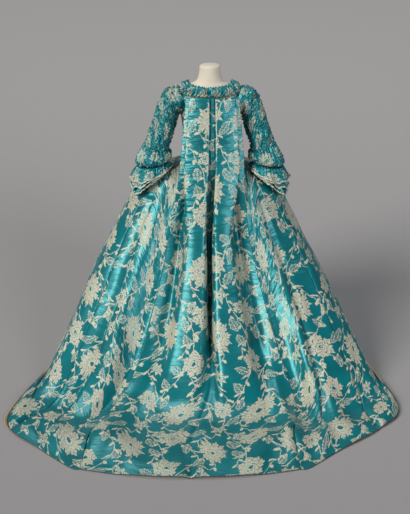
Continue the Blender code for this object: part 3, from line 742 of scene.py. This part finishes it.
def add(tree, kind, settings, *inputs, out=0, **named):
    """Adds a node with its settings and links, and gives back one of its outputs."""
    made = tree.nodes.new("ShaderNode" + kind)
    for key, value in settings.items():
        setattr(made, key, value)
    chosen = list(zip(made.inputs, inputs))
    chosen += [(made.inputs[key.replace("_", " ")], value) for key, value in named.items()]
    for socket, value in chosen:
        if isinstance(value, bpy.types.NodeSocket):
            tree.links.new(value, socket)
        elif value is not None:
            socket.default_value = value
    return made.outputs[out]


PLUS = dict(operation="ADD")
LESS = dict(operation="SUBTRACT")
TIMES = dict(operation="MULTIPLY")
TIMES_PLUS = dict(operation="MULTIPLY_ADD")
POWER = dict(operation="POWER")
SMALLER = dict(operation="MINIMUM")
LARGER = dict(operation="MAXIMUM")
SIZE = dict(operation="ABSOLUTE")
SINE = dict(operation="SINE")
ANGLE = dict(operation="ARCTAN2")
TO_AND_FRO = dict(operation="PINGPONG")
WRAP = dict(operation="WRAP")
LENGTH = dict(operation="LENGTH")
SCALE = dict(operation="SCALE")

# The brocade's repeat, and its motifs in millimetres across and down it.
REPEAT = (0.300, 0.600)
FIGURE_SIZE = 1.20
FLOWERS = {
    "peony": dict(
        at=(80, 92), radius=75, petals=10,
        notch=0.30, sharp=1.3, turn=10, narrow=1.0, heart=10),
    "rose": dict(
        at=(226, 60), radius=44, petals=6,
        notch=0.24, sharp=2.0, turn=30, narrow=1.0, heart=7),
    "star": dict(
        at=(206, 186), radius=38, petals=5,
        notch=0.60, sharp=0.9, turn=20, narrow=1.0, heart=4),
    "cluster": dict(
        at=(66, 276), radius=54, petals=6,
        notch=0.28, sharp=1.9, turn=-12, narrow=1.15, heart=8),
    "bloom": dict(
        at=(122, 238), radius=30, petals=5,
        notch=0.30, sharp=1.8, turn=12, narrow=1.0, heart=5),
    "tall_peony": dict(
        at=(222, 352), radius=78, petals=11,
        notch=0.28, sharp=1.3, turn=0, narrow=0.76, heart=10),
    "half_open": dict(
        at=(86, 462), radius=56, petals=7,
        notch=0.26, sharp=1.8, turn=40, narrow=0.85, heart=9),
    "daisy": dict(
        at=(244, 520), radius=32, petals=7,
        notch=0.42, sharp=1.1, turn=5, narrow=1.0, heart=5),
}
LEAVES = {
    "a": dict(at=(168, 118), long=32, wide=14, turn=55),
    "b": dict(at=(14, 186), long=30, wide=13, turn=-40),
    "c": dict(at=(150, 304), long=30, wide=14, turn=110),
    "d": dict(at=(284, 262), long=32, wide=15, turn=35),
    "e": dict(at=(130, 372), long=30, wide=14, turn=-60),
    "f": dict(at=(268, 448), long=30, wide=14, turn=60),
    "g": dict(at=(150, 492), long=30, wide=14, turn=-25),
    "h": dict(at=(160, 30), long=30, wide=13, turn=80),
    "i": dict(at=(14, 356), long=28, wide=13, turn=80),
    "j": dict(at=(262, 140), long=28, wide=13, turn=-70),
    "k": dict(at=(22, 540), long=28, wide=13, turn=20),
    "l": dict(at=(178, 560), long=28, wide=13, turn=-50),
}
STEMS = {
    "long":    dict(middle=150, sway=52, waves=1, start=0.5, wide=1.9, leaves=9),
    "cross":   dict(middle=20, sway=44, waves=2, start=2.2, wide=1.7, leaves=10),
    "fine":    dict(middle=244, sway=32, waves=3, start=4.0, wide=1.5, leaves=11),
    "tendril": dict(middle=96, sway=40, waves=2, start=5.2, wide=1.4, leaves=12),
}
LEAFLET = dict(long=0.0145, wide=0.0048, away=0.0115, lean=0.95)
STEP_OF_WEAVE = 0.0042   # the outlines are stepped by threads and wander this much
DRAWING_SWAY = 0.010     # the drawing itself is free, and no petal is quite like the next
PETAL_FRINGE = 0.16      # a petal's rim is cut into three ragged teeth, by this share of the flower
OUTLINE = 0.0030         # plain satin kept round each flower
DRAWN_LINE = 0.0026      # satin lines drawn inside a flower
LEAF_LINE = 0.0030       # a leaf is drawn in outline, with its veins
RIM_IN_GATHERS = 0.0018
RIB_PITCH = 0.0030       # the weft rib is about 0.5 mm, drawn coarser so that it shows


def in_repeat(tree, cloth, motif, narrow=1.0):
    """The cloth's coordinates about the motif's middle, wrapped to the repeat and turned with it."""
    middle = (motif["at"][0] / 1000, motif["at"][1] / 1000, 0.0)
    half = (REPEAT[0] / 2, REPEAT[1] / 2, 1.0)
    off = add(tree, "VectorMath", LESS, cloth, middle)
    off = add(tree, "VectorMath", WRAP, off, half, tuple(-x for x in half))
    turn = (0.0, 0.0, math.radians(motif["turn"]))
    return add(tree, "Mapping", dict(vector_type="TEXTURE"), off, None, turn, (narrow, 1.0, 1.0))


def flower(tree, cloth, motif):
    """How far inside a flower's petals a point is, less the lines drawn between its rings of petals."""
    radius = motif["radius"] / 1000
    step = math.pi / motif["petals"]
    off = in_repeat(tree, cloth, motif, motif["narrow"])
    apart = add(tree, "SeparateXYZ", {}, off)
    turn = add(tree, "Math", ANGLE, apart, apart.node.outputs[1])
    out = add(tree, "VectorMath", LENGTH, off, out=1)
    beside = add(tree, "Math", TO_AND_FRO, turn, step)
    fall = add(tree, "Math", POWER, beside, motif["sharp"])
    slope = -motif["notch"] * radius / step ** motif["sharp"]
    rim = add(tree, "Math", TIMES_PLUS, fall, slope, radius)
    teeth = add(tree, "Math", TO_AND_FRO, turn, step / 3)
    rim = add(tree, "Math", TIMES_PLUS, teeth, -PETAL_FRINGE * radius * 3 / step, rim)
    inside = add(tree, "Math", LESS, rim, out)
    staggered = add(tree, "Math", LESS, step, beside)
    cup = add(tree, "Math", POWER, staggered, 1.6)
    for share in (0.64, 0.34):
        ring = add(tree, "Math", TIMES_PLUS, cup, -0.34 * share * radius / step ** 1.6, share * radius)
        line = add(tree, "Math", SIZE, add(tree, "Math", LESS, ring, out))
        drawn = add(tree, "Math", LESS, line, DRAWN_LINE / 2)
        inside = add(tree, "Math", SMALLER, inside, drawn)
    parting = add(tree, "Math", TIMES, staggered, out)
    parting = add(tree, "Math", LESS, parting, DRAWN_LINE / 2)
    core = add(tree, "Math", TIMES_PLUS, out, -1.0, 0.60 * radius)
    inside = add(tree, "Math", SMALLER, inside, add(tree, "Math", LARGER, parting, core))
    heart = add(tree, "Math", LESS, out, motif["heart"] / 1000)
    return add(tree, "Math", SMALLER, inside, heart)


def leaf(tree, cloth, motif):
    """How far inside the lines of a serrated leaf a point is: its outline, its midrib and its veins."""
    long, wide = motif["long"] / 1000, motif["wide"] / 1000
    apart = add(tree, "SeparateXYZ", {}, in_repeat(tree, cloth, motif))
    beside = add(tree, "Math", SIZE, apart.node.outputs[1])
    tip = add(tree, "Math", POWER, add(tree, "Math", TIMES, apart, 1.0 / long), 2.0)
    blade = add(tree, "Math", TIMES_PLUS, tip, -wide, wide)
    slant = add(tree, "Math", LESS, apart, beside)
    teeth = add(tree, "Math", TO_AND_FRO, slant, 0.0065)
    blade = add(tree, "Math", TIMES_PLUS, teeth, 0.6, blade)
    inside = add(tree, "Math", LESS, blade, beside)
    rim = add(tree, "Math", SIZE, add(tree, "Math", LESS, inside, LEAF_LINE / 2))
    rim = add(tree, "Math", LESS, LEAF_LINE / 2, rim)
    vein = add(tree, "Math", LESS, 0.0011, add(tree, "Math", TO_AND_FRO, slant, 0.0042))
    midrib = add(tree, "Math", LESS, 0.0012, beside)
    drawn = add(tree, "Math", SMALLER, inside, add(tree, "Math", LARGER, vein, midrib))
    return add(tree, "Math", LARGER, rim, drawn)


def stem(tree, across, down, row):
    """How far inside a swaying stem, or one of the pairs of leaflets along it, a point is."""
    turn = add(tree, "Math", TIMES_PLUS, down, 2 * math.pi * row["waves"] / REPEAT[1], row["start"])
    sway = add(tree, "Math", TIMES, add(tree, "Math", SINE, turn), row["sway"] / 1000)
    off = add(tree, "Math", LESS, across, sway)
    off = add(tree, "Math", LESS, off, row["middle"] / 1000)
    off = add(tree, "Math", WRAP, off, REPEAT[0] / 2, -REPEAT[0] / 2)
    beside = add(tree, "Math", SIZE, off)
    stalk = add(tree, "Math", LESS, row["wide"] / 1000, beside)
    apart = 0.5 * REPEAT[1] / row["leaves"]
    # the leaflets on one side of the stem stand half a step above those on the other
    step = add(tree, "Math", dict(operation="SIGN"), off)
    on = add(tree, "Math", WRAP, add(tree, "Math", TIMES_PLUS, step, 0.5 * apart, down), apart, -apart)
    out = add(tree, "Math", LESS, beside, LEAFLET["away"])
    lean = LEAFLET["lean"]
    tip = add(tree, "Math", TIMES_PLUS, out, math.sin(lean), add(tree, "Math", TIMES, on, math.cos(lean)))
    side = add(tree, "Math", TIMES_PLUS, on, math.sin(lean), add(tree, "Math", TIMES, out, -math.cos(lean)))
    tip = add(tree, "Math", POWER, add(tree, "Math", TIMES, tip, 1.0 / LEAFLET["long"]), 2.0)
    blade = add(tree, "Math", TIMES_PLUS, tip, -LEAFLET["wide"], LEAFLET["wide"])
    blade = add(tree, "Math", LESS, blade, add(tree, "Math", SIZE, side))
    return add(tree, "Math", LARGER, stalk, blade)


def brocade_figure(tree, cloth):
    """The flowers' signed distance, and with the stems between them, in metres; inside is above 0."""
    cloth = add(tree, "VectorMath", SCALE, cloth, Scale=1.0 / FIGURE_SIZE)
    free = add(tree, "TexNoise", {}, cloth, Scale=26.0, Detail=1.0, out=1)
    free = add(tree, "VectorMath", LESS, free, (0.5, 0.5, 0.5))
    sway = add(tree, "VectorMath", SCALE, free, Scale=2.0 * DRAWING_SWAY)
    threads = add(tree, "TexNoise", {}, cloth, Scale=170.0, Detail=1.0, out=1)
    threads = add(tree, "VectorMath", LESS, threads, (0.5, 0.5, 0.5))
    step = add(tree, "VectorMath", SCALE, threads, Scale=2.0 * STEP_OF_WEAVE)
    cloth = add(tree, "VectorMath", PLUS, cloth, add(tree, "VectorMath", PLUS, sway, step))
    figure = None
    for motif in FLOWERS.values():
        found = flower(tree, cloth, motif)
        figure = found if figure is None else add(tree, "Math", LARGER, figure, found)
    apart = add(tree, "SeparateXYZ", {}, cloth)
    down = apart.node.outputs[1]
    small = None
    for row in STEMS.values():
        found = stem(tree, apart, down, row)
        small = found if small is None else add(tree, "Math", LARGER, small, found)
    for motif in LEAVES.values():
        small = add(tree, "Math", LARGER, small, leaf(tree, cloth, motif))
    clear = add(tree, "Math", TIMES_PLUS, figure, -1.0, -OUTLINE)
    return figure, add(tree, "Math", LARGER, figure, add(tree, "Math", SMALLER, small, clear))


def brocaded_silk(name, hidden=0.0, edged=False):
    """Silk satin woven with a figure of cream silk wefts: a smooth ground with a satin's long highlights,
    and matter, ribbed flowers that catch the light evenly. hidden is how much of a flower's rim its gathers
    hide, in metres. edged cloth has a ravelled cream edge."""
    made = bpy.data.materials.new(name)
    made.use_nodes = True
    tree = made.node_tree
    surface = tree.nodes["Principled BSDF"]
    cloth = add(tree, "UVMap", dict(uv_map="cloth"))
    flowers, figure = brocade_figure(tree, cloth)
    woven = add(tree, "MapRange", dict(interpolation_type="SMOOTHSTEP"), figure,
                hidden - 0.0006, hidden + 0.0008, 0.0, 1.0)
    if edged:
        apart = add(tree, "SeparateXYZ", {}, add(tree, "UVMap", dict(uv_map="edge")))
        ravel = add(tree, "TexNoise", {}, cloth, Scale=260.0)
        depth = add(tree, "Math", TIMES_PLUS, ravel, 0.008, apart.node.outputs[1])
        edging = add(tree, "MapRange", {}, depth, 0.0105, 0.0125, 1.0, 0.0)
        woven = add(tree, "Math", LARGER, woven, edging)
    # the cream wefts are of two tones: ivory towards a flower's rim, straw further in
    tone = add(tree, "MapRange", {}, flowers, 0.001, 0.014, 0.0, 1.0)
    streaks = add(tree, "TexNoise", {}, add(tree, "VectorMath", TIMES, cloth, (70.0, 160.0, 1.0)), Scale=1.0)
    streaks = add(tree, "MapRange", {}, streaks, 0.35, 0.65, 0.0, 1.0)
    tone = add(tree, "Math", TIMES, tone, streaks)
    cream = add(tree, "Mix", dict(data_type="RGBA"), tone, out=2)
    cream.node.inputs[6].default_value = linear("#C2BBA7")
    cream.node.inputs[7].default_value = linear("#7A6E57")
    # painted highlights and shade: the satin ground is painted lighter and darker teal in broad cloudy
    # patches, standing in for the satin's sheen on its folds
    painted_sheen_patches = add(tree, "TexNoise", {}, cloth, Scale=7.0, Detail=3.0)
    teal = add(tree, "Mix", dict(data_type="RGBA"), painted_sheen_patches, out=2)
    teal.node.inputs[6].default_value = linear("#00444B")
    teal.node.inputs[7].default_value = linear("#007A83")
    colour = add(tree, "Mix", dict(data_type="RGBA"), woven, out=2)
    tree.links.new(teal, colour.node.inputs[6])
    tree.links.new(cream, colour.node.inputs[7])
    tree.links.new(colour, surface.inputs["Base Color"])
    rough = add(tree, "MapRange", {}, woven, 0.0, 1.0, 0.34, 0.52)
    tree.links.new(rough, surface.inputs["Roughness"])
    ribs = add(tree, "TexWave", dict(bands_direction="Y"), cloth, Scale=0.314 / RIB_PITCH, Distortion=0.6)
    relief = add(tree, "Math", TIMES, ribs, woven)
    # soft creases lie across the cloth, 2 to 3 cm apart, and break up the satin's shine; the skirt's
    # own weight has drawn most of them out
    creases = add(tree, "TexNoise", {}, add(tree, "VectorMath", TIMES, cloth, (11.0, 34.0, 1.0)),
                  Scale=1.0, Detail=2.0)
    place = add(tree, "SeparateXYZ", {}, add(tree, "TexCoord", {}, out=3))
    kept = add(tree, "MapRange", {}, place.node.outputs[2], 0.25, 0.90, 0.30, 1.0)
    creases = add(tree, "Math", TIMES, creases, kept)
    creased = add(tree, "Bump", {}, Strength=1.0, Distance=0.0075, Height=creases)
    bumped = add(tree, "Bump", {}, Strength=0.22, Distance=0.0006, Height=relief, Normal=creased)
    tree.links.new(bumped, surface.inputs["Normal"])
    surface.inputs["IOR"].default_value = 1.57
    surface.inputs["Specular IOR Level"].default_value = 1.0
    surface.inputs["Specular Tint"].default_value = linear("#8FECF2")
    surface.inputs["Sheen Weight"].default_value = 0.05
    surface.inputs["Sheen Roughness"].default_value = 0.35
    surface.inputs["Sheen Tint"].default_value = linear("#8FE6EA")
    return made


def plain_cloth(name, colour, worn, threads, rough, map_name=None):
    """A plain-woven cloth: matt, with threads that show as a fine check and a little unevenness of colour.

    Its threads, in metres apart, are drawn coarser than real ones, which are too fine to show."""
    made = bpy.data.materials.new(name)
    made.use_nodes = True
    tree = made.node_tree
    surface = tree.nodes["Principled BSDF"]
    if map_name:
        at = add(tree, "UVMap", dict(uv_map=map_name))
    else:
        at = add(tree, "TexCoord", {}, out=3)
    uneven = add(tree, "TexNoise", {}, at, Scale=14.0, Detail=4.0)
    base = add(tree, "Mix", dict(data_type="RGBA"), uneven, out=2)
    base.node.inputs[6].default_value = linear(colour)
    base.node.inputs[7].default_value = linear(worn)
    tree.links.new(base, surface.inputs["Base Color"])
    warp = add(tree, "TexWave", dict(bands_direction="X"), at, Scale=0.314 / threads, Distortion=0.4)
    weft = add(tree, "TexWave", dict(bands_direction="Z" if map_name is None else "Y"), at,
               Scale=0.314 / threads, Distortion=0.4)
    weave = add(tree, "Math", TIMES, warp, weft)
    bumped = add(tree, "Bump", {}, Strength=0.25, Distance=0.0004, Height=weave)
    tree.links.new(bumped, surface.inputs["Normal"])
    surface.inputs["Roughness"].default_value = rough
    surface.inputs["IOR"].default_value = 1.50
    surface.inputs["Sheen Weight"].default_value = 0.15
    return made


def turned_beech():
    """Beech turned on a lathe, stained dark and waxed: fine rings round the piece under a soft polish."""
    made = bpy.data.materials.new("stained_turned_beech")
    made.use_nodes = True
    tree = made.node_tree
    surface = tree.nodes["Principled BSDF"]
    at = add(tree, "TexCoord", {}, out=3)
    grain = add(tree, "TexNoise", {}, add(tree, "VectorMath", TIMES, at, (60.0, 60.0, 6.0)),
                Scale=1.0, Detail=5.0)
    wood = add(tree, "Mix", dict(data_type="RGBA"), grain, out=2)
    wood.node.inputs[6].default_value = linear("#3A2415")
    wood.node.inputs[7].default_value = linear("#6B4526")
    tree.links.new(wood, surface.inputs["Base Color"])
    rough = add(tree, "MapRange", {}, grain, 0.0, 1.0, 0.32, 0.48)
    tree.links.new(rough, surface.inputs["Roughness"])
    bumped = add(tree, "Bump", {}, Strength=0.15, Distance=0.0005, Height=grain)
    tree.links.new(bumped, surface.inputs["Normal"])
    surface.inputs["IOR"].default_value = 1.50
    surface.inputs["Coat Weight"].default_value = 0.3
    surface.inputs["Coat Roughness"].default_value = 0.25
    return made


# ---------------------------------------------------------------- building


def set_camera():
    data = bpy.data.cameras.new("camera")
    data.sensor_width = 36.0
    data.lens = CAMERA_LENS
    data.clip_end = 200.0
    made = bpy.data.objects.new("camera", data)
    made.location = CAMERA_AT
    made.rotation_euler = (math.radians(90.0) - CAMERA_DOWN, 0.0, math.radians(180.0))
    bpy.context.scene.collection.objects.link(made)
    bpy.context.scene.camera = made


def set_lights():
    for name, row in LIGHTS.items():
        data = bpy.data.lights.new(name, "SUN")
        data.angle = math.radians(row["spread"])
        data.energy = row["strength"]
        data.color = linear(row["colour"])[:3]
        made = bpy.data.objects.new(name, data)
        made.location = row["at"]
        aim = Vector((0.0, 0.35, 0.6)) - Vector(row["at"])
        made.rotation_euler = aim.to_track_quat("-Z", "Y").to_euler()
        bpy.context.scene.collection.objects.link(made)
    world = bpy.data.worlds.new("studio")
    world.use_nodes = True
    background = world.node_tree.nodes["Background"]
    background.inputs["Color"].default_value = linear(STUDIO_GREY)
    background.inputs["Strength"].default_value = STUDIO_STRENGTH
    # behind the floor's far edge is the same grey as its far end
    seen = add(world.node_tree, "Background", {}, linear(FAR_GREY))
    ray = add(world.node_tree, "LightPath", {})
    both = add(world.node_tree, "MixShader", {}, ray, background.outputs[0], seen)
    world.node_tree.links.new(both, world.node_tree.nodes["World Output"].inputs["Surface"])
    bpy.context.scene.world = world


def set_floor(look):
    """Plain pale paper, its colour painted darker away from the lights: painted shade."""
    tree = look.node_tree
    surface = tree.nodes["Principled BSDF"]
    near = surface.inputs["Base Color"].links[0].from_socket
    # painted shade: the paper's colour darkens with distance from the middle of the floor
    away = add(tree, "VectorMath", LENGTH, add(tree, "TexCoord", {}, out=3), out=1)
    away = add(tree, "MapRange", {}, away, 1.5, 26.0, 0.0, 1.0)
    paper = add(tree, "Mix", dict(data_type="RGBA"), away, out=2)
    tree.links.new(near, paper.node.inputs[6])
    paper.node.inputs[7].default_value = linear(FAR_GREY)
    tree.links.new(paper, surface.inputs["Base Color"])
    mesh = bmesh.new()
    bmesh.ops.create_grid(mesh, x_segments=8, y_segments=8, size=FLOOR_REACH / 2)
    floor = link("studio_floor", mesh, [look])
    floor.location = (0.0, -4.0, 0.0)


def build_form(linen):
    mesh = bmesh.new()
    rows = form_rows()
    grid = [[mesh.verts.new(point) for point in row] for row in rows]
    for below, above in zip(grid, grid[1:]):
        for i in range(FORM_SIDES):
            k = (i + 1) % FORM_SIDES
            mesh.faces.new((below[i], below[k], above[k], above[i]))
    mesh.faces.new(grid[0])
    mesh.faces.new(grid[-1])
    bmesh.ops.recalc_face_normals(mesh, faces=mesh.faces[:])
    made = link("dress_form", mesh, [linen])
    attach(made, "root")
    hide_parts("form_torso")


def build_bodice(silk, lining):
    panels = {
        "bodice_back": dict(first=-86.0, last=86.0),
        "bodice_front_left": dict(first=86.4, last=179.6),
        "bodice_front_right": dict(first=-86.4, last=-179.6),
    }
    for name, span in panels.items():
        rows = bodice_panel(span["first"], span["last"])
        made = loft("silk_" + name, rows, [silk, lining], figure_middle, origin=len(rows[0]) // 2)
        mesh = bmesh.new()
        mesh.from_mesh(made.data)
        hole = [v for v in mesh.verts if abs(v.co.x) > 0.1
                and math.hypot(v.co.y - ARMHOLE["y"], v.co.z - ARMHOLE["z"]) < ARMHOLE["radius"]]
        bmesh.ops.delete(mesh, geom=hole, context="VERTS")
        mesh.to_mesh(made.data)
        mesh.free()
        lined(made, CLOTH)
        declare(made, rows, name)


def build_skirt(silk, lining, hem_cord, side):
    cuts = {"back": relieved(back_panel(side), figure_middle, silk_fall(side, 2.0, 0.26, 0.0100))}
    for seed, (name, (first, last)) in enumerate(SKIRT_PANELS.items()):
        fall = silk_fall(side, 11.0 + seed, 0.06, 0.0120)
        cuts[name] = relieved(skirt_panel(side, first, last), figure_middle, fall)
    for name, rows in cuts.items():
        node = name + "_" + SIDE_NAMES[side]
        piece = lined(loft("silk_" + node, rows, [silk, lining], figure_middle, way=side), CLOTH)
        edge = [point + Vector((0, 0, HEM_CORD_LIFT)) for point in rows[-1]]
        hem = tube("dark_hem_cord_" + node, edge, HEM_CORD, [hem_cord])
        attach(hem, "root")
        trims = [hem]
        if node == LINING_SHOWS_ON:
            trims.append(lining_edge(rows[-1][:len(rows[-1]) // 2], [lining, lining]))
            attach(trims[-1], "root")
        declare(piece, rows, node)


def lining_edge(hem, looks):
    """The lining's edge where it slips out from under the hem, widest in the middle of its run."""
    rows = []
    for across in LINING_STEPS:
        row = []
        for i, point in enumerate(hem):
            wide = LINING_SHOWS * math.sin(math.pi * i / (len(hem) - 1)) ** 0.7
            away = (point.xy - figure_middle(point).xy).normalized() * wide * across
            lift = 0.30 * wide * max(0.0, across)
            row.append(Vector((point.x + away.x, point.y + away.y, CLOTH / 2 + lift)))
        rows.append(row)
    return lined(loft("lining_edge_left", rows, looks, figure_middle), TRIM_CLOTH / 2)


def build_arm(silk, edged, lining, side):
    name = SIDE_NAMES[side]
    rows = relieved(sleeve_rows(side), sleeve_middle(side), sleeve_ruching(side), closed=True)
    made = loft("silk_sleeve_" + name, rows, [silk, lining], sleeve_middle(side), closed=True,
                drawn_up=SLEEVE_FULLNESS, way=side)
    lined(made, CLOTH)
    declare(made, rows, "sleeve_" + name, closed=True)
    elbow = rows[-3]
    for seed, (piece_name, piece) in enumerate(CUFF_PIECES.items()):
        puffed = piece_name == "cuff_puff"
        height = puff_gathers(side) if puffed else flounce_gathers(side, seed + 2.0)
        rings = cuff_rows(side, piece, sewn_to=elbow if puffed else None)
        rows = relieved(rings, cuff_middle(side), height, closed=True)
        look = silk if puffed else edged
        made = loft("silk_" + piece_name + "_" + name, rows, [look, lining], cuff_middle(side), closed=True,
                    hem=not puffed, drawn_up=CUFF_FULLNESS, way=side)
        lined(made, TRIM_CLOTH)
        declare(made, rows, piece_name + "_" + name,
                closed=True)


def build_ruche(silk, lining, gimp):
    rows = relieved(ruche_rows(), figure_middle, ruche_gathers)
    made = loft("silk_neck_ruche", rows, [silk, lining], figure_middle, drawn_up=RUCHE_FULLNESS)
    lined(made, TRIM_CLOTH)
    last = len(RUCHE_PATH) - 1.0
    path = [ruche_point(last * i / GIMP_STEPS, 0.965, 0.0015) for i in range(-GIMP_STEPS, GIMP_STEPS + 1)]
    braid = tube("neck_gimp", path, GIMP_THICK, [gimp], twist=GIMP_PLAIT)
    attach(braid, "root")
    declare(made, rows, "neck_ruche")


set_camera()
set_lights()
bpy.context.scene.view_settings.view_transform = "Standard"

# plain matt paper, so that nothing but the gown catches the light
FLOOR_PAPER = plain_cloth("studio_floor_paper", "#989799", "#959496", 0.02, 0.9)
BROCADE = brocaded_silk("brocaded_silk_satin")
GATHERED_BROCADE = brocaded_silk("gathered_brocaded_silk", hidden=RIM_IN_GATHERS)
EDGED_BROCADE = brocaded_silk("brocaded_silk_with_ravelled_edge", hidden=RIM_IN_GATHERS, edged=True)
# undyed silk: a dull tan edge against the bright satin
LINING = plain_cloth("natural_silk_lining", "#B79B72", "#A58A63", 0.0016, 0.70, "cloth")
# the form's cover: pale and matt, with no shine at the neck
LINEN = plain_cloth("linen_jersey_form_cover", "#D3CCBE", "#C8C0B0", 0.0014, 0.85)
# a dark, dull line where the hem meets the floor
DARK_HEM_CORD = plain_cloth("dark_hem_cord", "#23332F", "#2E3A33", 0.0012, 0.75)
# a plaited olive cord, which outlines the neck trimming
GIMP = plain_cloth("olive_silk_gimp", "#4C4A2E", "#5E5636", 0.0010, 0.60)
BEECH = turned_beech()

set_floor(FLOOR_PAPER)
for stand_node in ("stand_pole", "stand_foot"):
    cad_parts[stand_node].data.materials.clear()
    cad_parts[stand_node].data.materials.append(BEECH)
build_form(LINEN)
build_bodice(BROCADE, LINING)
for each_side in SIDE_NAMES:
    build_skirt(BROCADE, LINING, DARK_HEM_CORD, each_side)
    build_arm(GATHERED_BROCADE, EDGED_BROCADE, LINING, each_side)
build_ruche(GATHERED_BROCADE, LINING, GIMP)
